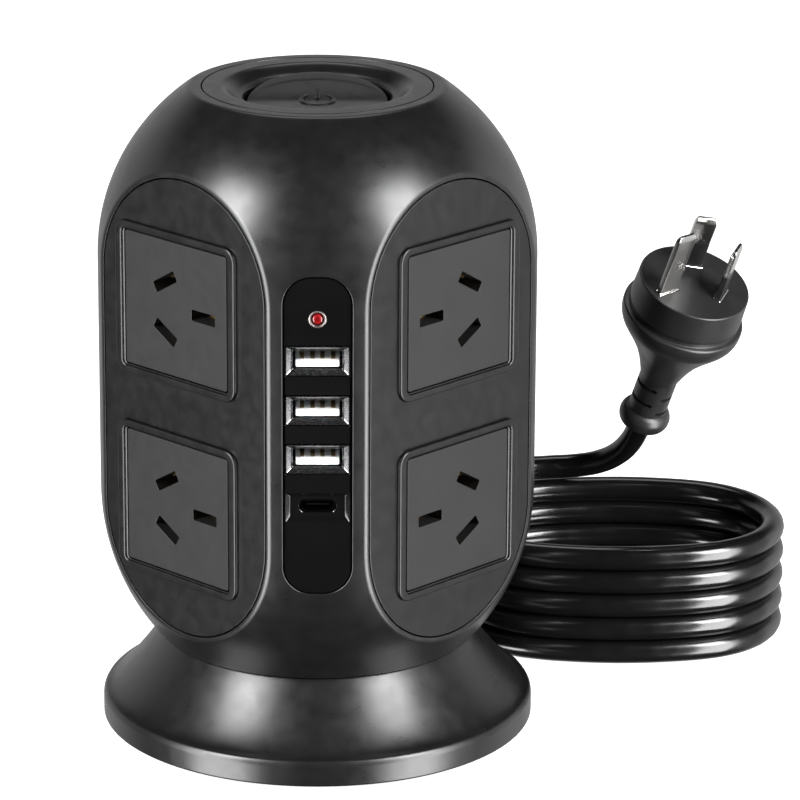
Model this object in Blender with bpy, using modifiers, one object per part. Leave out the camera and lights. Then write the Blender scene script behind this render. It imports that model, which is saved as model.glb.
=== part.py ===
"""Tower power strip: eight Type I sockets on four flats, three USB-A ports and one USB-C port on the
front corner, a round rocker switch on top, an overload reset button at the back, a flared base and a
coiled mains cord with its plug.

Metres, +Z up. The origin is the centre of the underside of the feet. The USB corner faces -Y.
"""

import math

import bmesh
import bpy
import numpy as np
from mathutils import Matrix, Vector

MM = 0.001
GAP = 0.3 * MM  # clearance between pieces that touch

# Tower body: a turned form with four flats
BODY_R = 58.2 * MM
FLAT_D = 49.1 * MM  # axis to each flat
TOP_Z = 175.3 * MM
STRAIGHT_LOW_Z = 66.0 * MM
STRAIGHT_HIGH_Z = 130.0 * MM
DOME_HIGH = 55.8 * MM  # semi-height of the upper dome's ellipse
DOME_LOW = 59.8 * MM
WALL = 2.5 * MM
SEGMENTS = 48
FLAT_HALF_W = math.sqrt(BODY_R**2 - FLAT_D**2)
FACE_ANGLES = {"front_left": 225, "front_right": 315, "rear_right": 45, "rear_left": 135}

# Face plates and sockets
PLATE_T = 2.0 * MM
PLATE_RIM = 1.0 * MM  # ring of the flat left on the shell round each plate
LEDGE_INSET = 3.4 * MM
SOCKET_Z = {"lower": 69.4 * MM, "upper": 123.8 * MM}
SOCKET_U = -2.2 * MM  # sockets sit off the flat's middle, away from the earth slot's side
FRAME_W, FRAME_H, FRAME_PROUD = 45.0 * MM, 41.4 * MM, 1.2 * MM
FRAME_CORNER_R, OPENING_CORNER_R = 4.0 * MM, 1.0 * MM
INSERT_W, INSERT_H, INSERT_PROUD = 38.7 * MM, 36.8 * MM, 0.6 * MM
INSERT_FRONT_T, SKIRT_WALL, FLANGE_T = 2.2 * MM, 1.4 * MM, 1.2 * MM
INSERT_FLANGE = 0.75 * MM
INSERT_DEPTH = 8.0 * MM
PIN_CIRCLE_LIVE = 7.92 * MM
EARTH_OFFSET = 10.31 * MM
LIVE_TILT = math.radians(30)
SLOT_L, SLOT_W = 8.6 * MM, 2.9 * MM

# Brass strips that link the sockets of one level, and the boards that hold them
BUS_D, BUS_T, BUS_H = 36.0 * MM, 0.8 * MM, 5.0 * MM
BUS_CORNER_D = 38.0 * MM
JAW_REACH = 44.0 * MM
CARRIER_D, CARRIER_T, CARRIER_W = 30.0 * MM, 3.0 * MM, 32.0 * MM

# USB panel on the front corner
PANEL_Y = -56.8 * MM
PANEL_W, PANEL_H, PANEL_Z = 17.9 * MM, 85.3 * MM, 96.95 * MM
USB_A_Z = (91.0 * MM, 104.1 * MM, 117.3 * MM)
USB_C_Z = 78.0 * MM
LED_Z = 128.4 * MM
PORT_W, PORT_H = 16.2 * MM, 7.6 * MM

# Top cap and rocker switch
CAP_R = 30.6 * MM
ROCKER_BORE_R = 19.5 * MM
ROCKER_R = 18.6 * MM
ROCKER_PIVOT_Z = 168.6 * MM
ROCKER_TILT = math.radians(5.5)
PIVOT_PIN_R = 1.2 * MM

# Overload breaker at the rear
BREAKER_Z = 96.6 * MM
BUTTON_R = 4.0 * MM
BUTTON_TIP_Y = 57.4 * MM

# Base
BASE_R = 58.2 * MM
NECK_R, NECK_Z = 42.3 * MM, 25.2 * MM
RIM_TOP_Z = 8.4 * MM
SCREW_CIRCLE_R = 36.0 * MM
FOOT_R, FOOT_CIRCLE_R = 7.0 * MM, 44.0 * MM

# Cord: an oval coil of stacked turns beside the tower
CORD_D = 6.8 * MM
CORD_R = CORD_D / 2
GLAND_Z = 12.6 * MM
GLAND_END_Y = 80.0 * MM
TURNS, TURN_PITCH = 5, 6.9 * MM
COIL_X, COIL_Y = 85.1 * MM, 65.1 * MM
COIL_HALF_L = 44.0 * MM  # to the middle of the cord, along X
COIL_END_R, COIL_SIDE_R = 28.0 * MM, 90.0 * MM
COIL_TOP = CORD_D + (TURNS - 1) * TURN_PITCH

# The lead from the gland round behind the coil, and the tail from the coil's top to the plug (mm)
LEAD_ROUTE = [
    (0, 81.2, 12.5), (0.4, 86, 11.8), (3, 94, 9.0), (9, 103.5, 5.8), (18.5, 110.5, 3.9), (30, 113.5, 3.4),
    (42, 112.5, 3.4), (54, 108.3, 3.4), (63.5, 103.4, 3.4),
]
TAIL_ROUTE = [
    (41.4, 60.2, 38.2), (41.5, 70, 38.2), (45, 79.4, 38.2), (51.3, 86.6, 38.2), (59, 91.2, 38.2),
    (67, 92.7, 38.3), (74.5, 91.7, 39.1), (81, 88.9, 41.2), (86, 85.5, 44.7), (89.4, 82.3, 49.2),
    (91.6, 79.8, 54.4),
]

# Plug: its collar's middle, and the axis that runs out through the pins
PLUG_AT = Vector((93.1, 78.0, 58.9)) * MM
PLUG_AXIS = Vector((0.238, -0.370, 0.898)).normalized()
PLUG_TURN = math.radians(186)
PLUG_LENGTH = 50.0 * MM
PIN_T, PIN_W, LIVE_PIN_L, EARTH_PIN_L = 1.6 * MM, 6.35 * MM, 17.0 * MM, 20.0 * MM

MATERIALS = {
    "body_black": ((0.020, 0.020, 0.021), 0.38, 0.0),
    "face_grey": ((0.045, 0.045, 0.047), 0.45, 0.0),
    "panel_gloss": ((0.008, 0.008, 0.009), 0.12, 0.0),
    "rubber": ((0.03, 0.03, 0.03), 0.8, 0.0),
    "cord_black": ((0.012, 0.012, 0.013), 0.25, 0.0),
    "inner_plastic": ((0.55, 0.54, 0.50), 0.5, 0.0),
    "circuit_green": ((0.02, 0.14, 0.06), 0.5, 0.0),
    "usb_steel": ((0.60, 0.60, 0.61), 0.28, 1.0),
    "usb_white": ((0.80, 0.80, 0.80), 0.4, 0.0),
    "nickel": ((0.72, 0.70, 0.66), 0.22, 1.0),
    "brass": ((0.78, 0.57, 0.25), 0.3, 1.0),
    "screw_steel": ((0.50, 0.50, 0.50), 0.35, 1.0),
    "led_red": ((0.60, 0.02, 0.02), 0.15, 0.0),
}


def clear_scene():
    for obj in list(bpy.data.objects):
        bpy.data.objects.remove(obj)


def new_collection(name, helper=False):
    collection = bpy.data.collections.new(name)
    bpy.context.scene.collection.children.link(collection)
    collection.hide_render = helper
    return collection


def material(name):
    found = bpy.data.materials.get(name)
    if found:
        return found
    colour, roughness, metallic = MATERIALS[name]
    made = bpy.data.materials.new(name)
    made.use_nodes = True
    shader = made.node_tree.nodes["Principled BSDF"]
    shader.inputs["Base Color"].default_value = (*colour, 1.0)
    shader.inputs["Roughness"].default_value = roughness
    shader.inputs["Metallic"].default_value = metallic
    return made


def add_object(name, data, material_name=None):
    """A part when it has a material, and otherwise a cutter."""
    obj = bpy.data.objects.new(name, data)
    if material_name:
        PARTS.objects.link(obj)
        data.materials.append(material(material_name))
    else:
        CUTTERS.objects.link(obj)
        obj.hide_render = True
        obj.display_type = "WIRE"
    return obj


def mesh_of(name, bm):
    """A mesh from a bmesh, which is freed."""
    mesh = bpy.data.meshes.new(name)
    bm.to_mesh(mesh)
    bm.free()
    return mesh


def box(name, low, high, material_name=None, bevel=0.0):
    size = Vector(high) - Vector(low)
    middle = (Vector(high) + Vector(low)) / 2
    bm = bmesh.new()
    bmesh.ops.create_cube(bm, size=1.0, matrix=Matrix.Translation(middle) @ Matrix.Diagonal((*size, 1.0)))
    obj = add_object(name, mesh_of(name, bm), material_name)
    if bevel:
        edges = obj.modifiers.new("edges", "BEVEL")
        edges.width = bevel
        edges.segments = 1
    return obj


def rod(name, radius, low, high, axis="Z", at=(0, 0), sides=24, material_name=None):
    """A cylinder along an axis from low to high; at holds its other two coordinates in X, Y, Z order."""
    turn = {"X": Matrix.Rotation(math.pi / 2, 4, "Y"), "Y": Matrix.Rotation(math.pi / 2, 4, "X")}
    middle = list(at)
    middle.insert("XYZ".index(axis), (low + high) / 2)
    matrix = Matrix.Translation(middle) @ turn.get(axis, Matrix())
    bm = bmesh.new()
    bmesh.ops.create_cone(
        bm, cap_ends=True, segments=sides, radius1=radius, radius2=radius, depth=high - low, matrix=matrix
    )
    return add_object(name, mesh_of(name, bm), material_name)


def turned(name, outline, material_name=None, closed=False, segments=SEGMENTS):
    """Outline of (radius, height) pairs, down the outer side first, turned round Z."""
    points = [(r, 0, z) for r, z in outline]
    edges = [(i, i + 1) for i in range(len(points) - 1)]
    if closed:
        edges.append((len(points) - 1, 0))
    mesh = bpy.data.meshes.new(name)
    mesh.from_pydata(points, edges, [])
    obj = add_object(name, mesh, material_name)
    screw = obj.modifiers.new("turn", "SCREW")
    screw.steps = screw.render_steps = segments
    screw.use_merge_vertices = True
    screw.merge_threshold = 1e-5
    screw.use_smooth_shade = False
    return obj


def in_mm(outline):
    return [(r * MM, z * MM) for r, z in outline]


def boolean(obj, other, operation="DIFFERENCE"):
    step = obj.modifiers.new(operation.lower(), "BOOLEAN")
    step.operation = operation
    step.object = other
    step.solver = "EXACT"
    return obj


def join(obj, *others):
    """Boolean union; the others become helpers."""
    for other in others:
        boolean(obj, other, "UNION")
    return obj


def cut(obj, *cutters):
    for cutter in cutters:
        boolean(obj, cutter)
    return obj


def as_mesh(curve_object, material_name=None):
    """A mesh object in place of a curve object, with its caps welded."""
    graph = bpy.context.evaluated_depsgraph_get()
    mesh = bpy.data.meshes.new_from_object(curve_object.evaluated_get(graph))
    mesh.materials.clear()
    bm = bmesh.new()
    bm.from_mesh(mesh)
    bmesh.ops.remove_doubles(bm, verts=bm.verts, dist=1e-6)
    bmesh.ops.recalc_face_normals(bm, faces=bm.faces)
    bm.to_mesh(mesh)
    bm.free()
    name, matrix = curve_object.name, curve_object.matrix_world.copy()
    bpy.data.objects.remove(curve_object)
    obj = add_object(name, mesh, material_name)
    obj.matrix_world = matrix
    return obj


def flat_solid(name, outlines, thickness, matrix, material_name=None):
    """Outlines in the XY plane, the later ones holes, made a slab centred on matrix's plane."""
    curve = bpy.data.curves.new(name, "CURVE")
    curve.dimensions = "2D"
    curve.fill_mode = "BOTH"
    curve.extrude = thickness / 2
    for outline in outlines:
        spline = curve.splines.new("POLY")
        spline.points.add(len(outline) - 1)
        for point, (x, y) in zip(spline.points, outline):
            point.co = (x, y, 0, 1)
        spline.use_cyclic_u = True
    obj = bpy.data.objects.new(name, curve)
    CUTTERS.objects.link(obj)
    obj.matrix_world = matrix
    bpy.context.view_layer.update()
    return as_mesh(obj, material_name)


def rounded_rectangle(width, height, radius, steps=3, centre=(0, 0)):
    corners = ((1, 1, 0), (-1, 1, 90), (-1, -1, 180), (1, -1, 270))
    points = []
    for sx, sy, start in corners:
        for step in range(steps + 1):
            angle = math.radians(start + 90 * step / steps)
            x = sx * (width / 2 - radius) + radius * math.cos(angle)
            y = sy * (height / 2 - radius) + radius * math.sin(angle)
            points.append((centre[0] + x, centre[1] + y))
    return points


def rectangle(width, height, centre=(0, 0)):
    x, y = width / 2, height / 2
    return [(centre[0] + sx * x, centre[1] + sy * y) for sx, sy in ((1, 1), (-1, 1), (-1, -1), (1, -1))]


def face_matrix(face, distance):
    """X across the face towards its earth slots, Y up, Z out of the face, at a distance from the axis."""
    out = Vector((math.cos(math.radians(FACE_ANGLES[face])), math.sin(math.radians(FACE_ANGLES[face])), 0))
    up = Vector((0, 0, 1))
    across = up.cross(out)
    if face in ("front_right", "rear_left"):
        across = -across
    matrix = Matrix((across, up, out)).transposed().to_4x4()
    return Matrix.Translation(out * distance) @ matrix


def tower_outline(inset, top_z, bottom_z, steps=5):
    """The turned body's side from top_z down to bottom_z, moved in by inset."""
    points = []
    domes = ((STRAIGHT_HIGH_Z, DOME_HIGH - inset, top_z), (STRAIGHT_LOW_Z, DOME_LOW - inset, bottom_z))
    for middle, half, end in domes:
        last = math.asin(abs(end - middle) / half)
        sign = 1 if end > middle else -1
        turns = [last * k / steps for k in range(steps + 1)]
        arc = [((BODY_R - inset) * math.cos(turn), middle + sign * half * math.sin(turn)) for turn in turns]
        points += arc[::-1] if sign > 0 else arc
    return points


def flat_outline(inset, steps=12):
    """The outline of a flat, where its plane meets the turned body, moved in by inset."""
    half_w = FLAT_HALF_W - inset
    upper = DOME_HIGH * FLAT_HALF_W / BODY_R - inset
    lower = DOME_LOW * FLAT_HALF_W / BODY_R - inset
    points = []
    for middle, half, start in ((STRAIGHT_HIGH_Z, upper, 0), (STRAIGHT_LOW_Z, lower, math.pi)):
        for k in range(steps + 1):
            angle = start + math.pi * k / steps
            points.append((half_w * math.cos(angle), middle + half * math.sin(angle)))
    return points


def flats_cutter(name, distance):
    """A square tube that trims a turned form to four flats."""
    reach = 90 * MM
    outer = [(-reach, -reach), (reach, -reach), (reach, reach), (-reach, reach)]
    inner = [(x * distance / reach, y * distance / reach) for x, y in outer]
    middle = Matrix.Translation((0, 0, 100 * MM)) @ Matrix.Rotation(math.radians(45), 4, "Z")
    return flat_solid(name, [outer, inner], 260 * MM, middle)


def panel_matrix(y):
    """X to the right, Y up, Z forward, for outlines on the front corner."""
    return Matrix.Translation((0, y, 0)) @ Matrix.Rotation(math.pi / 2, 4, "X")


def tower_shell():
    top, bottom = TOP_Z, NECK_Z + GAP
    side = tower_outline(0, top, bottom)
    shell = turned("tower_shell", [(0, top), *side, (0, bottom)], "body_black")
    cut(shell, flats_cutter("shell_flats", FLAT_D))
    cavity_top, cavity_bottom = top - 5.0 * MM, bottom + 2.5 * MM
    inner = tower_outline(WALL, cavity_top, cavity_bottom)
    cavity = turned("shell_cavity", [(0, cavity_top), *inner, (0, cavity_bottom)])
    cut(cavity, flats_cutter("cavity_flats", FLAT_D - 4.3 * MM))
    cut(shell, cavity)
    cut(shell, rod("cap_seat", CAP_R, top - 2.8 * MM, top + 5 * MM, sides=SEGMENTS))
    cut(shell, rod("cap_hole", CAP_R - 2.2 * MM, top - 9 * MM, top + 5 * MM, sides=SEGMENTS))
    cut(shell, rod("neck_hole", 30 * MM, bottom - 5 * MM, bottom + 5 * MM, sides=SEGMENTS))
    for face in FACE_ANGLES:
        pocket_depth = PLATE_T + GAP
        pocket = face_matrix(face, FLAT_D - pocket_depth + 5 * MM)
        cut(shell, flat_solid(f"pocket_{face}", [flat_outline(PLATE_RIM)], 10 * MM, pocket))
        window = face_matrix(face, FLAT_D)
        cut(shell, flat_solid(f"window_{face}", [flat_outline(LEDGE_INSET)], 16 * MM, window))
    usb_hole = rounded_rectangle(PANEL_W, PANEL_H, 7.5 * MM, steps=5, centre=(0, PANEL_Z))
    cut(shell, flat_solid("usb_hole", [usb_hole], 16 * MM, panel_matrix(-56 * MM)))
    cut(shell, box("usb_pocket", (-10.6 * MM, -53.8 * MM, 51 * MM), (10.6 * MM, -46 * MM, 143 * MM)))
    cut(shell, rod("reset_hole", BUTTON_R + 0.4 * MM, 50 * MM, 62 * MM, "Y", (0, BREAKER_Z)))
    for index, (x, y) in enumerate(screw_places()):
        join(shell, rod(f"boss_{index}", 3.6 * MM, bottom + 1 * MM, 37 * MM, "Z", (x, y), 16))
    for index, (x, y) in enumerate(screw_places()):
        cut(shell, rod(f"boss_hole_{index}", 1.8 * MM, bottom - 4 * MM, 34.5 * MM, "Z", (x, y), 16))


def screw_places():
    quarter = [math.pi / 2 * k for k in range(4)]
    return [(SCREW_CIRCLE_R * math.cos(a), SCREW_CIRCLE_R * math.sin(a)) for a in quarter]


def live_slots():
    """Middle and tilt of the two tilted slots, from the socket's middle."""
    for sign in (1, -1):
        yield (-PIN_CIRCLE_LIVE / 2, sign * PIN_CIRCLE_LIVE * math.sin(math.radians(60)), sign * LIVE_TILT)


def tilted(matrix, x, y, angle):
    return matrix @ Matrix.Translation((x, y, 0)) @ Matrix.Rotation(angle, 4, "Z")


def face_plate(face):
    places = [(SOCKET_U, z) for z in SOCKET_Z.values()]
    openings = [rounded_rectangle(INSERT_W, INSERT_H, OPENING_CORNER_R, 1, place) for place in places]
    outline = flat_outline(PLATE_RIM + GAP)
    middle = face_matrix(face, FLAT_D - PLATE_T / 2)
    plate = flat_solid(f"face_plate_{face}", [outline, *openings], PLATE_T, middle, "face_grey")
    for level, z in SOCKET_Z.items():
        outer = rounded_rectangle(FRAME_W, FRAME_H, FRAME_CORNER_R, steps=4, centre=(SOCKET_U, z))
        inner = rounded_rectangle(INSERT_W, INSERT_H, OPENING_CORNER_R, steps=1, centre=(SOCKET_U, z))
        depth = FRAME_PROUD + 0.6 * MM
        place = face_matrix(face, FLAT_D + FRAME_PROUD - depth / 2)
        join(plate, flat_solid(f"frame_{face}_{level}", [outer, inner], depth, place))


def socket_insert(face, level):
    name = f"socket_{face}_{level}"
    z = SOCKET_Z[level]
    width, height = INSERT_W - 2 * GAP, INSERT_H - 2 * GAP
    front = FLAT_D + INSERT_PROUD
    outer = rounded_rectangle(width, height, OPENING_CORNER_R - GAP, steps=1, centre=(SOCKET_U, z))
    place = face_matrix(face, front - INSERT_FRONT_T / 2)
    insert = flat_solid(name, [outer], INSERT_FRONT_T, place, "face_grey")
    flange_front = FLAT_D - PLATE_T - GAP
    flange = rectangle(INSERT_W + 2 * INSERT_FLANGE, INSERT_H + 2 * INSERT_FLANGE, (SOCKET_U, z))
    inner = rectangle(width - 2 * SKIRT_WALL, height - 2 * SKIRT_WALL, (SOCKET_U, z))
    place = face_matrix(face, flange_front - FLANGE_T / 2)
    join(insert, flat_solid(f"{name}_flange", [flange, inner], FLANGE_T, place))
    skirt_front = front - INSERT_FRONT_T + 0.5 * MM
    place = face_matrix(face, (skirt_front + FLAT_D - INSERT_DEPTH) / 2)
    skirt = flat_solid(f"{name}_skirt", [outer, inner], skirt_front - FLAT_D + INSERT_DEPTH, place)
    join(insert, skirt)
    slot = rectangle(SLOT_L, SLOT_W)
    middle = face_matrix(face, FLAT_D)
    for index, (x, y, angle) in enumerate([*live_slots(), (EARTH_OFFSET, 0, 0)]):
        place = tilted(middle, SOCKET_U + x, z + y, angle)
        cut(insert, flat_solid(f"{name}_slot_{index}", [slot], 14 * MM, place))


def octagon(flat, corner):
    """Outline of a square on the four faces, its corners cut off square to the X and Y axes."""
    reach = flat * math.sqrt(2) - corner
    quarter = [(corner, -reach), (corner, reach)]
    points = []
    for turn in range(4):
        rotation = Matrix.Rotation(math.pi / 2 * turn, 2)
        points += [tuple(rotation @ Vector(corner_point)) for corner_point in quarter]
    return points


def bus_strip(level, pole):
    """One brass strip round the tower, with a pair of jaws behind each socket's slot."""
    offsets = {"active": 1, "earth": 0, "neutral": -1}
    lift = offsets[pole] * PIN_CIRCLE_LIVE * math.sin(math.radians(60))
    z = SOCKET_Z[level] + lift
    outlines = [octagon(BUS_D + BUS_T, BUS_CORNER_D + BUS_T), octagon(BUS_D, BUS_CORNER_D)]
    strip = flat_solid(f"{pole}_strip_{level}", outlines, BUS_H, Matrix.Translation((0, 0, z)), "brass")
    across = EARTH_OFFSET if pole == "earth" else -PIN_CIRCLE_LIVE / 2
    angle = offsets[pole] * LIVE_TILT
    jaw_start = BUS_D + 0.2 * MM
    jaw = rectangle(7 * MM, 0.7 * MM)
    for face in FACE_ANGLES:
        middle = face_matrix(face, (jaw_start + JAW_REACH) / 2)
        for side in (1, -1):
            place = tilted(middle, SOCKET_U + across, z, angle) @ Matrix.Translation((0, side * 1.3 * MM, 0))
            name = f"jaw_{pole}_{level}_{face}_{side}"
            join(strip, flat_solid(name, [jaw], JAW_REACH - jaw_start, place))


def contact_carrier(face):
    """The moulded board behind a face, with pegs between the strips at both edges."""
    low, high = 50 * MM, 144 * MM
    board = rounded_rectangle(CARRIER_W, high - low, 2 * MM, centre=(0, (low + high) / 2))
    place = face_matrix(face, CARRIER_D + CARRIER_T / 2)
    carrier = flat_solid(f"contact_carrier_{face}", [board], CARRIER_T, place, "inner_plastic")
    peg_start, peg_end = CARRIER_D + CARRIER_T - 0.5 * MM, BUS_D + 2.6 * MM
    spread = PIN_CIRCLE_LIVE * math.sin(math.radians(60)) / 2
    for level, z in SOCKET_Z.items():
        for side in (-1, 1):
            for step in (-1, 1):
                peg = rectangle(2.4 * MM, 1.2 * MM, (side * 14.6 * MM, z + step * spread))
                place = face_matrix(face, (peg_start + peg_end) / 2)
                name = f"peg_{face}_{level}_{side}_{step}"
                join(carrier, flat_solid(name, [peg], peg_end - peg_start, place))


def frustum(name, front, back, front_y, back_y, z):
    """A rectangular funnel along Y from a front size to a smaller back size."""
    bm = bmesh.new()
    turn = Matrix.Rotation(math.radians(45), 4, "Z")
    bmesh.ops.create_cone(bm, cap_ends=True, segments=4, radius1=1, radius2=0.5, depth=1.0, matrix=turn)
    mesh = mesh_of(name, bm)
    depth = back_y - front_y
    for vertex in mesh.vertices:
        size = front if vertex.co.z < 0 else back
        x = math.copysign(size[0] / 2, vertex.co.x)
        up = math.copysign(size[1] / 2, vertex.co.y)
        vertex.co = (x, (front_y + back_y) / 2 + vertex.co.z * depth, z + up)
    mesh.flip_normals()
    return add_object(name, mesh)


def usb_panel():
    outline = rounded_rectangle(PANEL_W - 2 * GAP, PANEL_H - 2 * GAP, 7.2 * MM, steps=5, centre=(0, PANEL_Z))
    front_t = 3.6 * MM
    panel = flat_solid("usb_panel", [outline], front_t, panel_matrix(PANEL_Y + front_t / 2), "panel_gloss")
    lip = rounded_rectangle(20.4 * MM, PANEL_H + 3 * MM, 8.0 * MM, steps=5, centre=(0, PANEL_Z))
    lip_start = PANEL_Y + front_t - 0.3 * MM
    lip_end = lip_start + 1.4 * MM
    join(panel, flat_solid("panel_lip", [lip], lip_end - lip_start, panel_matrix((lip_start + lip_end) / 2)))
    for z in USB_A_Z:
        window = (PORT_W / 2 + GAP, PORT_H / 2 + GAP)
        low = (-window[0], PANEL_Y - 2 * MM, z - window[1])
        high = (window[0], PANEL_Y + 8 * MM, z + window[1])
        cut(panel, box(f"usb_a_window_{z:.4f}", low, high))
    mouth, floor = (17.3 * MM, 8.5 * MM), (11.2 * MM, 4.9 * MM)
    recess = frustum("usb_c_recess", mouth, floor, PANEL_Y - 0.5 * MM, PANEL_Y + 1.2 * MM, USB_C_Z)
    slot = rounded_rectangle(9.6 * MM, 3.8 * MM, 1.85 * MM, steps=4, centre=(0, USB_C_Z))
    cut(panel, recess, flat_solid("usb_c_slot", [slot], 14 * MM, panel_matrix(PANEL_Y)))
    cut(panel, rod("led_hole", 2.05 * MM + GAP, PANEL_Y - 2 * MM, PANEL_Y + 8 * MM, "Y", (0, LED_Z)))


def port_box(name, size, start_y, end_y, z, material_name=None):
    """A box along Y round a port's middle; size is its width and height."""
    low = (-size[0] / 2, start_y, z - size[1] / 2)
    high = (size[0] / 2, end_y, z + size[1] / 2)
    return box(name, low, high, material_name)


def usb_a_port(index, z):
    """Steel receptacle with a flared mouth, and its white tongue."""
    name = f"usb_a_shell_{index}"
    mouth_y, throat_y, end_y = PANEL_Y + 0.2 * MM, PANEL_Y + 1.6 * MM, PANEL_Y + 13.5 * MM
    outer, inner = (13.1 * MM, 5.7 * MM), (12.3 * MM, 4.9 * MM)
    lip = 0.4 * MM
    shell = port_box(name, outer, throat_y - lip, end_y, z, "usb_steel")
    join(shell, frustum(f"{name}_flare", (PORT_W, PORT_H), outer, mouth_y, throat_y, z))
    mouth = (PORT_W - lip, PORT_H - lip)
    flare = frustum(f"{name}_mouth", mouth, inner, mouth_y - 0.3 * MM, throat_y + 0.2 * MM, z)
    back_y = end_y - 0.6 * MM
    cut(shell, flare, port_box(f"{name}_cavity", inner, throat_y - 0.2 * MM, back_y, z))
    root_y = back_y - GAP
    tongue = port_box(
        f"usb_a_tongue_{index}", (11.4 * MM, 1.8 * MM), throat_y + 0.5 * MM, root_y, z - 1.0 * MM, "usb_white"
    )
    join(tongue, port_box(f"tongue_root_{index}", (11.6 * MM, 4.2 * MM), root_y - 2 * MM, root_y, z))


def usb_c_port():
    front_y, end_y = PANEL_Y + 1.5 * MM, PANEL_Y + 8.6 * MM
    outer = rounded_rectangle(9.0 * MM, 3.2 * MM, 1.58 * MM, steps=4, centre=(0, USB_C_Z))
    inner = rounded_rectangle(8.4 * MM, 2.6 * MM, 1.28 * MM, steps=4, centre=(0, USB_C_Z))
    middle = panel_matrix((front_y + end_y) / 2)
    shell = flat_solid("usb_c_shell", [outer], end_y - front_y, middle, "usb_steel")
    hollow = panel_matrix((front_y + end_y) / 2 - 0.6 * MM)
    cut(shell, flat_solid("usb_c_hollow", [inner], end_y - front_y, hollow))
    root_y = end_y - 0.6 * MM - GAP
    port_box("usb_c_tongue", (6.6 * MM, 0.7 * MM), front_y + 1 * MM, root_y, USB_C_Z, "usb_steel")


def led():
    ring = [(2.05, 0.3), (2.05, -2.4), (1.5, -2.4), (1.5, 0.15), (1.75, 0.4)]
    lens = [(0, 0.35), (0.6, 0.28), (1.0, 0.1), (1.2, -0.2), (1.2, -2.2), (0, -2.2)]
    matrix = Matrix.Translation((0, PANEL_Y, LED_Z)) @ Matrix.Rotation(math.pi / 2, 4, "X")
    turned("led_ring", in_mm(ring), "nickel", closed=True, segments=20).matrix_world = matrix
    turned("led_lens", in_mm(lens), "led_red", segments=16).matrix_world = matrix


def charger():
    board_y = PANEL_Y + 14.4 * MM
    high = (9.5 * MM, board_y + 1.6 * MM, 135 * MM)
    box("charger_board", (-9.5 * MM, board_y, 58 * MM), high, "circuit_green")
    start = board_y + 1.6 * MM + GAP
    low = (-8 * MM, start, 88 * MM)
    box("charger_transformer", low, (8 * MM, start + 12 * MM, 103 * MM), "inner_plastic", bevel=0.8 * MM)


def top_cap():
    top = TOP_Z
    profile = [
        (CAP_R - GAP, top - 0.2 * MM),
        (CAP_R - GAP, top - 2.5 * MM),
        (23.5 * MM, top - 2.5 * MM),
        (21.5 * MM, top - 4.7 * MM),
        (21.5 * MM, top - 10.5 * MM),
        (ROCKER_BORE_R, top - 10.5 * MM),
        (ROCKER_BORE_R, top - 3.0 * MM),
        (20.4 * MM, top - 2.6 * MM),
        (21.8 * MM, top - 1.8 * MM),
        (23.4 * MM, top - 0.7 * MM),
        (24.7 * MM, top - 0.15 * MM),
        (26.0 * MM, top),
        (CAP_R - GAP - 0.2 * MM, top),
    ]
    cap = turned("top_cap", profile, "body_black", closed=True)
    for side in (-1, 1):
        low = (min(side * 18, side * 23) * MM, -1.6 * MM, 160 * MM)
        high = (max(side * 18, side * 23) * MM, 1.6 * MM, ROCKER_PIVOT_Z + 1.6 * MM)
        cut(cap, box(f"pivot_notch_{side}", low, high))


def power_rocker():
    """A round rocker with a shallow V top. It rests with its front pressed in."""
    height = TOP_Z - 4.1 * MM - ROCKER_PIVOT_Z
    rise = ROCKER_R * math.tan(ROCKER_TILT)
    top = height + rise
    rocker = rod("power_rocker", ROCKER_R, 1.0 * MM, top, sides=SEGMENTS, material_name="body_black")
    reach = 25 * MM
    for side in (-1, 1):
        slope = Matrix.Translation((0, 0, height)) @ Matrix.Rotation(side * ROCKER_TILT, 4, "X")
        low = min(0, side * reach) - 0.01 * MM * (side > 0)
        high = max(0, side * reach)
        wedge = box(f"rocker_wedge_{side}", (-reach, low, 0), (reach, high, 10 * MM))
        wedge.matrix_world = slope
        cut(rocker, wedge)
        wedge.parent = rocker
    for side in (-1, 1):
        x0, x1 = sorted((side * 15.5 * MM, side * 18.2 * MM))
        ear = box(f"rocker_ear_{side}", (x0, -1.6 * MM, -1.0 * MM), (x1, 1.6 * MM, 1.6 * MM))
        a, b = sorted((side * 16.5 * MM, side * 20.9 * MM))
        pin = rod(f"rocker_pin_{side}", PIVOT_PIN_R, a, b, "X", (0, 0), 16)
        join(rocker, ear, pin)
        ear.parent = pin.parent = rocker
    pivot = bpy.data.objects.new("rocker_pivot", None)
    PARTS.objects.link(pivot)
    pivot.location = (0, 0, ROCKER_PIVOT_Z)
    pivot.rotation_euler = (ROCKER_TILT, 0, 0)
    rocker.parent = pivot


def switch_body():
    flange_top = TOP_Z - 10.5 * MM - GAP
    high = (13 * MM, 11 * MM, flange_top - 1 * MM)
    body = box("switch_body", (-13 * MM, -11 * MM, 146 * MM), high, "inner_plastic")
    join(body, rod("switch_flange", 21.5 * MM, flange_top - 2.4 * MM, flange_top, sides=32))
    join(body, rod("switch_plunger", 5 * MM, flange_top - 1 * MM, flange_top + 2.4 * MM, sides=20))


def breaker():
    low, high = (-6.5 * MM, 27 * MM, 82 * MM), (6.5 * MM, 52 * MM, 111 * MM)
    body = box("breaker_body", low, high, "inner_plastic", bevel=0.8 * MM)
    cut(body, rod("breaker_bore", 3.0 * MM, 46 * MM, 60 * MM, "Y", (0, BREAKER_Z)))
    head_back = 54.3 * MM
    button = rod("reset_button", BUTTON_R, head_back, BUTTON_TIP_Y, "Y", (0, BREAKER_Z), 24, "body_black")
    join(button, rod("button_stem", 2.6 * MM, 48.5 * MM, head_back + 1 * MM, "Y", (0, BREAKER_Z), 20))


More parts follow.
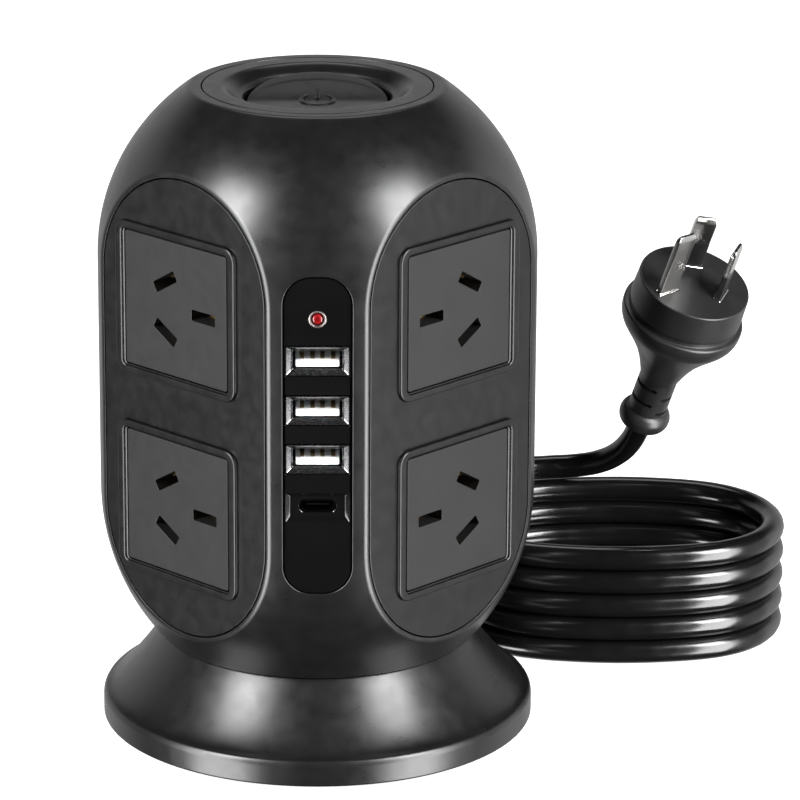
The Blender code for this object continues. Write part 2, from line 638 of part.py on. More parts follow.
def base_shell():
    flare = []
    steps = 4
    crease_r = 56.4 * MM
    for k in range(steps + 1):
        r = NECK_R + (crease_r - NECK_R) * k / steps
        flare.append((r, RIM_TOP_Z + (NECK_Z - RIM_TOP_Z) * (1 - k / steps) ** 1.2))
    rim = [(57.6 * MM, 8.0 * MM), (BASE_R, 6.9 * MM), (BASE_R, 1.4 * MM), (57.6 * MM, 0.9 * MM)]
    inner = [(55.4 * MM, 0.9 * MM), (55.4 * MM, 6.2 * MM), (48.5 * MM, 12.2 * MM), (40.0 * MM, 22.6 * MM)]
    flange = [(30 * MM, 22.6 * MM), (30 * MM, NECK_Z)]
    shell = turned("base_shell", [*flare, *rim, *inner, *flange], "body_black", closed=True)
    for index, (x, y) in enumerate(screw_places()):
        cut(shell, rod(f"flange_hole_{index}", 1.8 * MM, 20 * MM, 28 * MM, "Z", (x, y), 16))
    cut(shell, rod("gland_hole", 5.6 * MM, 40 * MM, 70 * MM, "Y", (0, GLAND_Z), 24))


def base_cover():
    outline = [(0, 3.4), (55.1, 3.4), (55.1, 1.0), (0, 1.0)]
    cover = turned("base_cover", in_mm(outline), "body_black")
    for index, (x, y) in enumerate(foot_places()):
        cut(cover, rod(f"foot_pocket_{index}", FOOT_R + GAP, -1 * MM, 2.5 * MM, "Z", (x, y), 24))
        rod(f"foot_{index + 1}", FOOT_R, 0, 2.2 * MM, "Z", (x, y), 24, "rubber")


def foot_places():
    quarter = [math.pi / 4 + math.pi / 2 * k for k in range(4)]
    return [(FOOT_CIRCLE_R * math.cos(a), FOOT_CIRCLE_R * math.sin(a)) for a in quarter]


def base_screws():
    """Pan-head screws up through the base's flange into the tower's bosses."""
    head_top = 22.6 * MM - GAP
    outline = [(0, 33.8), (1.5, 33.8), (1.5, 22.3), (3.0, 22.3), (3.0, 20.6), (2.0, 19.8), (0, 19.8)]
    for index, (x, y) in enumerate(screw_places()):
        points = [(r * MM, z * MM - head_top) for r, z in outline]
        screw = turned(f"base_screw_{index + 1}", points, "screw_steel", segments=16)
        screw.location = (x, y, head_top)


def cord_gland():
    outline = [
        (0, -40.0), (6.6, -40.0), (6.6, -42.5), (5.3, -42.8), (5.3, -56.0), (4.9, -62.0), (4.5, -71.0),
        (4.3, -GLAND_END_Y / MM), (0, -GLAND_END_Y / MM),
    ]
    gland = turned("cord_gland", in_mm(outline), "cord_black", segments=20)
    gland.matrix_world = Matrix.Translation((0, 0, GLAND_Z)) @ Matrix.Rotation(math.pi / 2, 4, "X")


def smooth_path(route, spacing):
    """Points a given distance apart on the natural cubic spline through a route."""
    points = np.array(route, float)
    count = len(points)
    times = np.concatenate([[0], np.cumsum(np.linalg.norm(np.diff(points, axis=0), axis=1))])
    steps = np.diff(times)
    system = np.eye(count)
    right = np.zeros((count, 3))
    for i in range(1, count - 1):
        system[i, i - 1 : i + 2] = steps[i - 1], 2 * (steps[i - 1] + steps[i]), steps[i]
        right[i] = 6 * ((points[i + 1] - points[i]) / steps[i] - (points[i] - points[i - 1]) / steps[i - 1])
    bends = np.linalg.solve(system, right)
    path = []
    for at in np.linspace(0, times[-1], max(2, round(times[-1] / spacing) + 1)):
        i = min(int(np.searchsorted(times, at, "right")) - 1, count - 2)
        before, after, step = at - times[i], times[i + 1] - at, steps[i]
        path.append(
            (bends[i] * after**3 + bends[i + 1] * before**3) / (6 * step)
            + (points[i] / step - bends[i] * step / 6) * after
            + (points[i + 1] / step - bends[i + 1] * step / 6) * before
        )
    return path


def cord_tube(name, route):
    curve = bpy.data.curves.new(name, "CURVE")
    curve.dimensions = "3D"
    curve.bevel_depth = CORD_R
    curve.bevel_resolution = 2
    curve.use_fill_caps = True
    path = smooth_path(route, 2.2 * CORD_D / MM)
    spline = curve.splines.new("POLY")
    spline.points.add(len(path) - 1)
    for point, place in zip(spline.points, path):
        point.co = (*(place * MM), 1)
    add_object(name, curve, "cord_black")


def coil_outline(offset, steps=10):
    """The oval through the middle of the cord, moved out by offset."""
    shift = COIL_HALF_L - COIL_END_R
    side_drop = math.sqrt((COIL_SIDE_R - COIL_END_R) ** 2 - shift**2)
    half = math.atan2(shift, side_drop)
    points = []
    for sign in (1, -1):
        turn = 0 if sign > 0 else math.pi
        for centre, radius, start, end in (
            ((0, -sign * side_drop), COIL_SIDE_R, math.pi / 2 + half, math.pi / 2 - half),
            ((sign * shift, 0), COIL_END_R, math.pi / 2 - half, -math.pi / 2 + half),
        ):
            for k in range(steps):
                angle = turn + start + (end - start) * k / steps
                reach = radius + offset
                points.append((centre[0] + reach * math.cos(angle), centre[1] + reach * math.sin(angle)))
    return points


def cord_coil():
    outlines = [coil_outline(CORD_R), coil_outline(-CORD_R)]
    place = Matrix.Translation((COIL_X, COIL_Y, COIL_TOP / 2))
    flat_solid("cord_coil", outlines, COIL_TOP, place, "cord_black")


def plug():
    """Round Type I plug: collar, slotted strain relief, cone, flange, head and three flat pins."""
    matrix = Matrix.Translation(PLUG_AT) @ PLUG_AXIS.to_track_quat("Z", "Y").to_matrix().to_4x4()
    matrix = matrix @ Matrix.Rotation(PLUG_TURN, 4, "Z")
    outline = [
        (0, 50.0), (15.2, 50.0), (15.8, 49.4), (16.1, 41.2), (15.6, 40.6), (15.6, 39.6), (17.1, 39.2),
        (17.3, 38.0), (17.1, 36.0), (15.6, 33.0), (12.6, 29.2), (9.6, 25.4), (7.6, 21.6), (6.4, 18.0),
        (5.7, 15.0), (5.5, 4.6), (5.9, 3.8), (7.0, 2.2), (7.2, 0.4), (6.6, -1.8), (5.0, -3.2), (0, -3.2),
    ]
    body = turned("plug_body", in_mm(outline), "cord_black", segments=32)
    body.matrix_world = matrix
    pins = [(x, y, tilt, LIVE_PIN_L) for x, y, tilt in live_slots()] + [(EARTH_OFFSET, 0, 0, EARTH_PIN_L)]
    for name, (x, y, tilt, length) in zip(("plug_pin_active", "plug_pin_neutral", "plug_pin_earth"), pins):
        low = (-PIN_W / 2, -PIN_T / 2, PLUG_LENGTH + GAP)
        high = (PIN_W / 2, PIN_T / 2, PLUG_LENGTH + GAP + length)
        pin = box(name, low, high, "nickel", bevel=0.4 * MM)
        pin.matrix_world = tilted(matrix, x, y, tilt)


def shade_round_pieces():
    """Applies the modifiers, and shades the curved faces smooth between edges of over 30 degrees."""
    graph = bpy.context.evaluated_depsgraph_get()
    solids = [obj for obj in PARTS.objects if obj.type == "MESH"]
    meshes = [bpy.data.meshes.new_from_object(obj.evaluated_get(graph)) for obj in solids]
    for obj, mesh in zip(solids, meshes):
        mesh.shade_smooth()
        mesh.set_sharp_from_angle(angle=math.radians(30))
        obj.modifiers.clear()
        obj.data = mesh


clear_scene()
PARTS = new_collection("tower power strip")
CUTTERS = new_collection("cutters", helper=True)
tower_shell()
for face_name in FACE_ANGLES:
    face_plate(face_name)
    contact_carrier(face_name)
    for level_name in SOCKET_Z:
        socket_insert(face_name, level_name)
for level_name in SOCKET_Z:
    for pole_name in ("active", "earth", "neutral"):
        bus_strip(level_name, pole_name)
usb_panel()
for number, port_z in enumerate(USB_A_Z):
    usb_a_port(number + 1, port_z)
usb_c_port()
led()
charger()
top_cap()
power_rocker()
switch_body()
breaker()
base_shell()
base_cover()
base_screws()
cord_gland()
cord_tube("cord_lead", LEAD_ROUTE)
cord_coil()
cord_tube("cord_tail", TAIL_ROUTE)
plug()
shade_round_pieces()
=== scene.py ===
"""Looks of the tower power strip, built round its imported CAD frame.

Metres, +Z up. The USB corner faces -Y, and the four socket flats face the diagonals. Each moulded piece is
a closed mesh made of rings of points; the mains cord is one curve, wound in an oval coil beside the tower.
"""

import math

import bmesh
import bpy
from mathutils import Matrix, Quaternion, Vector
from mathutils.geometry import tessellate_polygon


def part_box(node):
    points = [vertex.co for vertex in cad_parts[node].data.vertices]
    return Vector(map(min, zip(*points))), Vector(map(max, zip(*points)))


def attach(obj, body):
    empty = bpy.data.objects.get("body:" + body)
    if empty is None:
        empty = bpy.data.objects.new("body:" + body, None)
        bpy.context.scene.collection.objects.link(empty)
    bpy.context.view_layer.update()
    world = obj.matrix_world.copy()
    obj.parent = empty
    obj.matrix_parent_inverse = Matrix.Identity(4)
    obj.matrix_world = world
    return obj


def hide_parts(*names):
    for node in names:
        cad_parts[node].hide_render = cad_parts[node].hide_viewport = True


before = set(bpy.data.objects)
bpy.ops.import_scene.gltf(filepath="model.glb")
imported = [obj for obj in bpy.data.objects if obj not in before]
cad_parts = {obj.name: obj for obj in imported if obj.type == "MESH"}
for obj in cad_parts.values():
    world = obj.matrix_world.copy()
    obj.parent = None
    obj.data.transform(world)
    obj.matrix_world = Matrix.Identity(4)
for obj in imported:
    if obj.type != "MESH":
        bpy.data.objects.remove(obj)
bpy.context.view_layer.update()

MM = 0.001
GAP = 0.3 * MM
UP = Vector((0, 0, 1))

# Tower body, as in the CAD
BODY_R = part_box("tower_shell")[1].x
TOP_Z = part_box("tower_shell")[1].z
SHELL_BOTTOM_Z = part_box("tower_shell")[0].z
FLAT_D = 49.1 * MM
STRAIGHT_LOW_Z, STRAIGHT_HIGH_Z = 66.0 * MM, 130.0 * MM
DOME_HIGH, DOME_LOW = 55.8 * MM, 59.8 * MM
WALL = 2.3 * MM
FLAT_HALF_W = math.sqrt(BODY_R**2 - FLAT_D**2)
FACE_ANGLES = {"front_left": 225, "front_right": 315, "rear_right": 45, "rear_left": 135}
FLAT_EDGE = 0.9 * MM  # rounding where a flat meets the turned surface
PLATE_RIM = 1.0 * MM
PLATE_T = 2.0 * MM

# Sockets
SOCKET_Z = {"lower": 69.4 * MM, "upper": 123.8 * MM}
SOCKET_U = -2.2 * MM
FRAME_W, FRAME_H = 45.0 * MM, 41.4 * MM
INSERT_W, INSERT_H, INSERT_PROUD = 38.7 * MM, 36.8 * MM, 0.6 * MM
PIN_CIRCLE_LIVE, EARTH_OFFSET = 7.92 * MM, 10.31 * MM
LIVE_TILT = math.radians(30)
SLOT_L, SLOT_W = 8.6 * MM, 2.9 * MM

# USB panel
PANEL_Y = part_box("usb_panel")[0].y
PANEL_W, PANEL_H, PANEL_Z = 17.9 * MM, 85.3 * MM, 96.95 * MM
USB_A_Z = (91.0 * MM, 104.1 * MM, 117.3 * MM)
USB_C_Z, LED_Z = 78.0 * MM, 128.4 * MM
PORT_W, PORT_H = 16.2 * MM, 7.6 * MM

# Cap, rocker and reset button
CAP_R = 30.6 * MM
BORE_R, ROCKER_R = 19.5 * MM, 18.6 * MM
PIVOT = Vector((0, 0, 168.6)) * MM
ROCKER_TILT = math.radians(5.5)
ROCKER_SLOPE, ROCKER_HEIGHT = 0.155, 2.55 * MM
CREASE_X, CREASE_Y = 18.2 * MM, 12.6 * MM  # half axes of the rocker's crease
POWER_MARK_R = 4.3 * MM
RESET_Z = (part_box("reset_button")[0].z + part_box("reset_button")[1].z) / 2
RESET_R = 4.0 * MM
RESET_TIP_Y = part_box("reset_button")[1].y

# Cord, coil and plug
CORD_D = 6.8 * MM
GLAND_Z = 12.6 * MM
GLAND_END_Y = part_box("cord_gland")[1].y
TURNS, TURN_PITCH = 5, 6.9 * MM
COIL_X, COIL_Y = 85.1 * MM, 65.1 * MM
COIL_HALF_L, COIL_END_R, COIL_SIDE_R = 44.0 * MM, 28.0 * MM, 90.0 * MM
LEAD_ROUTE = [  # mm, from inside the gland to the back run of the coil
    (0, 66, 12.6), (0, 73, 12.6), (0, 81.2, 12.5), (0.4, 86, 11.8), (3, 94, 9.0), (9, 103.5, 5.8),
    (18.5, 110.5, 3.9), (30, 113.5, 3.4), (42, 112.5, 3.4), (54, 108.3, 3.4), (63.5, 103.4, 3.4),
    (74, 98.3, 3.4),
]
TAIL_ROUTE = [  # mm, from the top of the coil up to the plug
    (59, 91.2, 38.1), (67, 92.7, 38.3), (74.5, 91.7, 39.1), (81, 88.9, 41.2), (86, 85.5, 44.7),
    (89.4, 82.3, 49.2), (91.6, 79.8, 54.4), (93.5, 77.4, 60.4),
]
PLUG_AT = Vector((93.1, 78.0, 58.9)) * MM
PLUG_AXIS = Vector((0.238, -0.370, 0.898)).normalized()
PLUG_TURN = math.radians(186)
PLUG_LENGTH = 50.0 * MM
PLUG_SLOT_TURN = math.radians(150)
LIVE_PIN_L, EARTH_PIN_L = 17.0 * MM, 20.0 * MM

# Camera and floor
CAMERA_AT = (0, -1.2005, 0.4766)
CAMERA_TILT, CAMERA_LENS, CAMERA_SHIFT = 0.3126, 212.3, 0.1031
FLOOR_REACH = 8.0


# --- Materials ---------------------------------------------------------------------------------------


class Paint:
    """A Principled material whose colour, roughness and relief come from noise in object space."""

    NOISE_SPAN = (0.3, 0.7)  # the stretch of the noise that colour and roughness follow

    def __init__(self, name, colour, roughness, **sockets):
        self.material = bpy.data.materials.new(name)
        self.material.use_nodes = True
        self.tree = self.material.node_tree
        self.shader = self.tree.nodes["Principled BSDF"]
        self.colour, self.roughness = colour, roughness
        sockets.update(base_color=(*colour, 1), roughness=roughness)
        by_name = {socket.name.lower().replace(" ", "_"): socket for socket in self.shader.inputs}
        for key, value in sockets.items():
            by_name[key].default_value = value

    def node(self, kind, **values):
        made = self.tree.nodes.new(kind)
        for key, value in values.items():
            made.inputs[key.replace("_", " ")].default_value = value
        return made

    def noise(self, scale, stretch):
        place = self.node("ShaderNodeTexCoord")
        mapping = self.node("ShaderNodeMapping", Scale=stretch)
        noise = self.node("ShaderNodeTexNoise", Scale=scale, Detail=2.0)
        self.tree.links.new(place.outputs["Object"], mapping.inputs["Vector"])
        self.tree.links.new(mapping.outputs["Vector"], noise.inputs["Vector"])
        return noise.outputs["Fac"]

    def vary_colour(self, spread, scale, stretch=(1, 1, 1)):
        """The colour wanders by a share of itself."""
        ramp = self.node("ShaderNodeValToRGB")
        shares = (1 - spread, 1 + spread)
        for element, position, share in zip(ramp.color_ramp.elements, self.NOISE_SPAN, shares):
            element.position = position
            element.color = (*(min(1.0, c * share) for c in self.colour), 1)
        self.tree.links.new(self.noise(scale, stretch), ramp.inputs["Fac"])
        self.tree.links.new(ramp.outputs["Color"], self.shader.inputs["Base Color"])
        return self

    def vary_roughness(self, spread, scale, stretch=(1, 1, 1)):
        low, high = self.NOISE_SPAN
        least, most = self.roughness - spread, self.roughness + spread
        span = self.node("ShaderNodeMapRange", From_Min=low, From_Max=high, To_Min=least, To_Max=most)
        self.tree.links.new(self.noise(scale, stretch), span.inputs["Value"])
        self.tree.links.new(span.outputs["Result"], self.shader.inputs["Roughness"])
        return self

    def relief(self, depth, scale, stretch=(1, 1, 1)):
        """Fine bumps of this depth in mm."""
        bump = self.node("ShaderNodeBump", Strength=1.0, Distance=depth * MM)
        self.tree.links.new(self.noise(scale, stretch), bump.inputs["Height"])
        self.tree.links.new(bump.outputs["Normal"], self.shader.inputs["Normal"])
        return self


def textured(name, colour, roughness, colour_noise, rough_noise, relief, **sockets):
    """A material with noise as (spread, scale) in colour and roughness, and relief as (depth, scale)."""
    paint = Paint(name, colour, roughness, **sockets)
    return paint.vary_colour(*colour_noise).vary_roughness(*rough_noise).relief(*relief)


def satin_black():
    colour = (0.0035, 0.0035, 0.0037)
    return textured("satin black ABS", colour, 0.30, (0.10, 60), (0.03, 220), (0.004, 2600))


def plate_black():
    colour = (0.0025, 0.0025, 0.0026)
    return textured("satin black face plates", colour, 0.32, (0.08, 70), (0.03, 260), (0.004, 2800),
                    specular_ior_level=0.38)


def face_grey():
    colour = (0.0085, 0.0085, 0.0088)
    return textured("matt dark grey ABS", colour, 0.50, (0.08, 90), (0.04, 300), (0.006, 3000),
                    specular_ior_level=0.25)


def panel_gloss():
    colour = (0.0022, 0.0022, 0.0024)
    return textured("gloss black panel", colour, 0.15, (0.15, 40), (0.03, 120), (0.001, 900),
                    coat_weight=0.3, coat_roughness=0.06)


def cord_pvc():
    colour = (0.0035, 0.0035, 0.0037)
    return textured("gloss black PVC", colour, 0.20, (0.15, 50), (0.04, 180), (0.012, 420),
                    specular_ior_level=0.6)


def plug_pvc():
    colour = (0.0110, 0.0110, 0.0115)
    return textured("satin black PVC", colour, 0.38, (0.10, 80), (0.04, 260), (0.005, 2400))


def rubber():
    return textured("grey rubber", (0.030, 0.030, 0.030), 0.78, (0.15, 120), (0.06, 300), (0.02, 1500))


def inner_plastic():
    return textured("cream moulding", (0.55, 0.53, 0.47), 0.5, (0.05, 50), (0.05, 200), (0.006, 1800))


def circuit_green():
    colour = (0.02, 0.14, 0.06)
    return textured("green circuit board", colour, 0.42, (0.25, 320, (1, 1, 6)), (0.08, 500), (0.02, 900))


def brushed(name, colour, roughness, along=(1, 1, 12)):
    """A metal with fine scratches across the stretched direction."""
    return textured(name, colour, roughness, (0.06, 700, along), (0.05, 900, along), (0.002, 1200, along),
                    metallic=1.0)


def usb_white():
    return textured("white moulding", (0.82, 0.82, 0.82), 0.35, (0.03, 200), (0.05, 400), (0.003, 1500),
                    subsurface_weight=0.1, subsurface_scale=0.0005)


def led_red():
    paint = Paint("red lens", (0.14, 0.004, 0.005), 0.2, emission_strength=0.04,
                  emission_color=(0.9, 0.02, 0.02, 1))
    return paint.vary_colour(0.35, 900).vary_roughness(0.03, 700)


def pale_floor():
    paint = Paint("pale floor", (0.55, 0.55, 0.55), 0.3, emission_strength=0.9, emission_color=(1, 1, 1, 1))
    return paint.vary_colour(0.01, 4).vary_roughness(0.03, 9)


PAINTS = {
    "body_black": satin_black(),
    "plate_black": plate_black(),
    "face_grey": face_grey(),
    "panel_gloss": panel_gloss(),
    # The USB-C shell gets a near-black metal, far darker than the steel of the USB-A shells.
    "port_black": brushed("dark metal USB-C shell", (0.025, 0.025, 0.026), 0.30),
    "rubber": rubber(),
    "cord_black": cord_pvc(),
    "plug_black": plug_pvc(),
    "inner_plastic": inner_plastic(),
    "circuit_green": circuit_green(),
    "usb_steel": brushed("USB shell steel", (0.20, 0.20, 0.205), 0.26, (1, 1, 8)),
    "led_ring": brushed("LED ring", (0.30, 0.27, 0.26), 0.38),
    "contacts": brushed("USB contacts", (0.22, 0.17, 0.10), 0.30),
    "usb_white": usb_white(),
    "nickel": brushed("plated pins", (0.78, 0.77, 0.75), 0.20, (6, 1, 1)),
    "brass": brushed("brass", (0.78, 0.57, 0.25), 0.28),
    "screw_steel": brushed("screw steel", (0.50, 0.50, 0.51), 0.33),
    "led_red": led_red(),
}


# --- Mesh tools --------------------------------------------------------------------------------------


class Skin:
    """Points and faces of one or more closed bodies, in their own local frame."""

    def __init__(self):
        self.points, self.normals, self.faces, self.kinds = [], [], [], []

    def ring(self, points, normals=None):
        start = len(self.points)
        self.points += [Vector(p) for p in points]
        self.normals += normals or [None] * len(points)
        return list(range(start, len(self.points)))

    def bridge(self, a, b, closed=True, kind=0):
        count = len(a) if closed else len(a) - 1
        for i in range(count):
            j = (i + 1) % len(a)
            self.faces.append((a[i], a[j], b[j], b[i]))
            self.kinds.append(kind)

    def fill(self, outer, holes=(), kind=0):
        """Flat faces inside a ring, leaving its holes open."""
        loops = [outer, *holes]
        order = [i for loop in loops for i in loop]
        for triangle in tessellate_polygon([[self.points[i] for i in loop] for loop in loops]):
            self.faces.append(tuple(order[i] for i in triangle))
            self.kinds.append(kind)

    def loft(self, rings, kind=0):
        """Joins rings of equal length one after another, and returns the first and last."""
        made = [self.ring(points) for points in rings]
        for a, b in zip(made, made[1:]):
            self.bridge(a, b, kind=kind)
        return made[0], made[-1]

    def capped(self, rings, kind=0):
        """Joins rings, and closes the first and the last."""
        for end in self.loft(rings, kind):
            self.fill(end, kind=kind)
        return self

    def pierce(self, front, back, openings):
        """Joins the rings of each opening, and fills both sides round the openings."""
        ends = [self.loft(rings) for rings in openings]
        self.fill(front, [mouth for mouth, throat in ends])
        self.fill(back, [throat for mouth, throat in ends])

    def mesh(self, name):
        mesh = bpy.data.meshes.new(name)
        mesh.from_pydata(self.points, [], [tuple(dict.fromkeys(face)) for face in self.faces])
        return mesh


def add_object(name, data):
    obj = bpy.data.objects.new(name, data)
    bpy.context.scene.collection.objects.link(obj)
    return obj


def move_by(x, y, z):
    return Matrix.Translation((x, y, z))


def turn_by(angle, axis):
    return Matrix.Rotation(angle, 4, axis)


def in_mm(rows):
    return [tuple(value * MM for value in row) for row in rows]


def level(outline, height):
    """A flat outline lifted to a height."""
    return [(x, y, height) for x, y in outline]


def layers(outline, profile):
    """Rings from an outline that takes an inset or growth, and its (inset or growth, height) pairs."""
    return [level(outline(change), height) for change, height in profile]


def soften(points, radius, steps=4):
    """An open outline with its corners rounded; radius is one number, or one for each inner point."""
    points = [Vector((*p, 0)) for p in points]
    radii = radius if isinstance(radius, (list, tuple)) else [radius] * (len(points) - 2)
    out = [points[0]]
    for before, corner, after, r in zip(points, points[1:], points[2:], radii):
        r = min(r, 0.48 * (before - corner).length, 0.48 * (after - corner).length)
        if r <= 0:
            out.append(corner)
            continue
        start = corner + (before - corner).normalized() * r
        end = corner + (after - corner).normalized() * r
        for k in range(steps + 1):
            t = k / steps
            out.append(start * (1 - t) ** 2 + corner * (2 * t * (1 - t)) + end * t**2)
    return [(p.x, p.y) for p in out + [points[-1]]]


def circle(radius, sides, centre=(0, 0)):
    turns = [2 * math.pi * k / sides for k in range(sides)]
    return [(centre[0] + radius * math.cos(a), centre[1] + radius * math.sin(a)) for a in turns]


def rounded_rectangle(width, height, radius, steps, centre=(0, 0)):
    points = []
    for sx, sy, start in ((1, 1, 0), (-1, 1, 90), (-1, -1, 180), (1, -1, 270)):
        for step in range(steps + 1):
            angle = math.radians(start + 90 * step / steps)
            x = sx * (width / 2 - radius) + radius * math.cos(angle)
            y = sy * (height / 2 - radius) + radius * math.sin(angle)
            points.append((centre[0] + x, centre[1] + y))
    return points


def lathe(profile, sides):
    """A closed body from an outline of (radius, height) pairs; an end on the axis is closed by a fan."""
    skin = Skin()
    rings = []
    for radius, height in profile:
        if radius < 1e-7:
            rings.append(skin.ring([(0, 0, height)]) * sides)
        else:
            rings.append(skin.ring(level(circle(radius, sides), height)))
    for a, b in zip(rings, rings[1:]):
        skin.bridge(a, b)
    if profile[0][0] >= 1e-7:
        skin.bridge(rings[-1], rings[0])
    return skin


def solid(name, skin, matrix=None):
    """A mesh object from a skin, moved by a matrix, with its faces pointing out."""
    mesh = skin.mesh(name)
    for polygon, kind in zip(mesh.polygons, skin.kinds):
        polygon.material_index = kind
    bm = bmesh.new()
    bm.from_mesh(mesh)
    if matrix:
        bmesh.ops.transform(bm, matrix=matrix, verts=bm.verts)
    bmesh.ops.remove_doubles(bm, verts=bm.verts, dist=1e-7)
    bmesh.ops.dissolve_degenerate(bm, edges=bm.edges, dist=1e-7)
    bmesh.ops.recalc_face_normals(bm, faces=bm.faces)
    bm.to_mesh(mesh)
    bm.free()
    return add_object(name, mesh)


def carve(obj, *cutters, operation="DIFFERENCE"):
    """Boolean of obj with solids that are then removed."""
    for cutter in cutters:
        step = obj.modifiers.new("carve", "BOOLEAN")
        step.operation = operation
        step.solver = "EXACT"
        step.object = cutter
    graph = bpy.context.evaluated_depsgraph_get()
    mesh = bpy.data.meshes.new_from_object(obj.evaluated_get(graph))
    obj.modifiers.clear()
    obj.data = mesh
    for cutter in cutters:
        bpy.data.objects.remove(cutter)
    return obj


def finish_piece(obj, paints, stands_for=(), body="tower", slot=None, angle=32):
    """Paint, shading, body and the CAD nodes that this piece stands for."""
    paints = [paints] if isinstance(paints, str) else paints
    for paint in paints:
        obj.data.materials.append(PAINTS[paint].material)
    if obj.type == "MESH":
        obj.data.shade_smooth()
        obj.data.set_sharp_from_angle(angle=math.radians(angle))
        obj.modifiers.new("normals", "WEIGHTED_NORMAL").keep_sharp = True
    stands_for = [stands_for] if isinstance(stands_for, str) else stands_for
    if stands_for:
        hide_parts(*stands_for)
    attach(obj, body)
    return obj


def face_matrix(face, distance):
    """X across the face towards its earth slots, Y up, Z out of the face."""
    out = outward(math.radians(FACE_ANGLES[face]))
    across = UP.cross(out)
    if face in ("front_right", "rear_left"):
        across = -across
    return Matrix.Translation(out * distance) @ Matrix((across, UP, out)).transposed().to_4x4()


def panel_matrix():
    """X to the right, Y up and Z towards the front, with its origin on the USB panel's plane."""
    return move_by(0, PANEL_Y, 0) @ turn_by(math.pi / 2, "X")


def outward(angle):
    return round_point(1, angle, 0)


# --- Tower shell -------------------------------------------------------------------------------------


class Hole:
    """A rounded opening in the corner between two flats: half width, half height and end radius."""

    def __init__(self, z, half_w, half_h, end_r):
        self.z, self.half_w, self.half_h, self.end_r = z, half_w, half_h, end_r

    def half_width(self, z):
        past = abs(z - self.z) - (self.half_h - self.end_r)
        if past > self.end_r + 1e-9:
            return 0.0
        if past <= 0:
            return self.half_w
        return self.half_w - self.end_r + math.sqrt(max(0.0, self.end_r**2 - past**2))

    def inward(self, side, z):
        """The direction (across, up) into the opening from its edge at this height."""
        past = abs(z - self.z) - (self.half_h - self.end_r)
        if past <= 0:
            return -side, 0.0
        up = min(1.0, past / self.end_r)
        return -side * math.sqrt(1 - up**2), -math.copysign(up, z - self.z)

    def levels(self):
        steps = 9
        straight = self.half_h - self.end_r
        rise = [straight + self.end_r * math.sin(math.pi / 2 * k / steps) for k in range(steps + 1)]
        return [self.z + side * r for r in rise for side in (-1, 1)]


def into_dome(z):
    """How far a height lies past the straight part, up or down, and the height of the dome there."""
    if z > STRAIGHT_HIGH_Z:
        return z - STRAIGHT_HIGH_Z, DOME_HIGH
    return min(0.0, z - STRAIGHT_LOW_Z), DOME_LOW


def dome_radius(z):
    past, dome = into_dome(z)
    return BODY_R * math.sqrt(1 - (past / dome) ** 2)


def dome_slope(z):
    """The normal of the turned surface, as (outward, up)."""
    past, dome = into_dome(z)
    out, up = dome_radius(z) / BODY_R**2, past / dome**2
    size = math.hypot(out, up)
    return out / size, up / size


def round_point(radius, angle, z):
    return Vector((radius * math.cos(angle), radius * math.sin(angle), z))


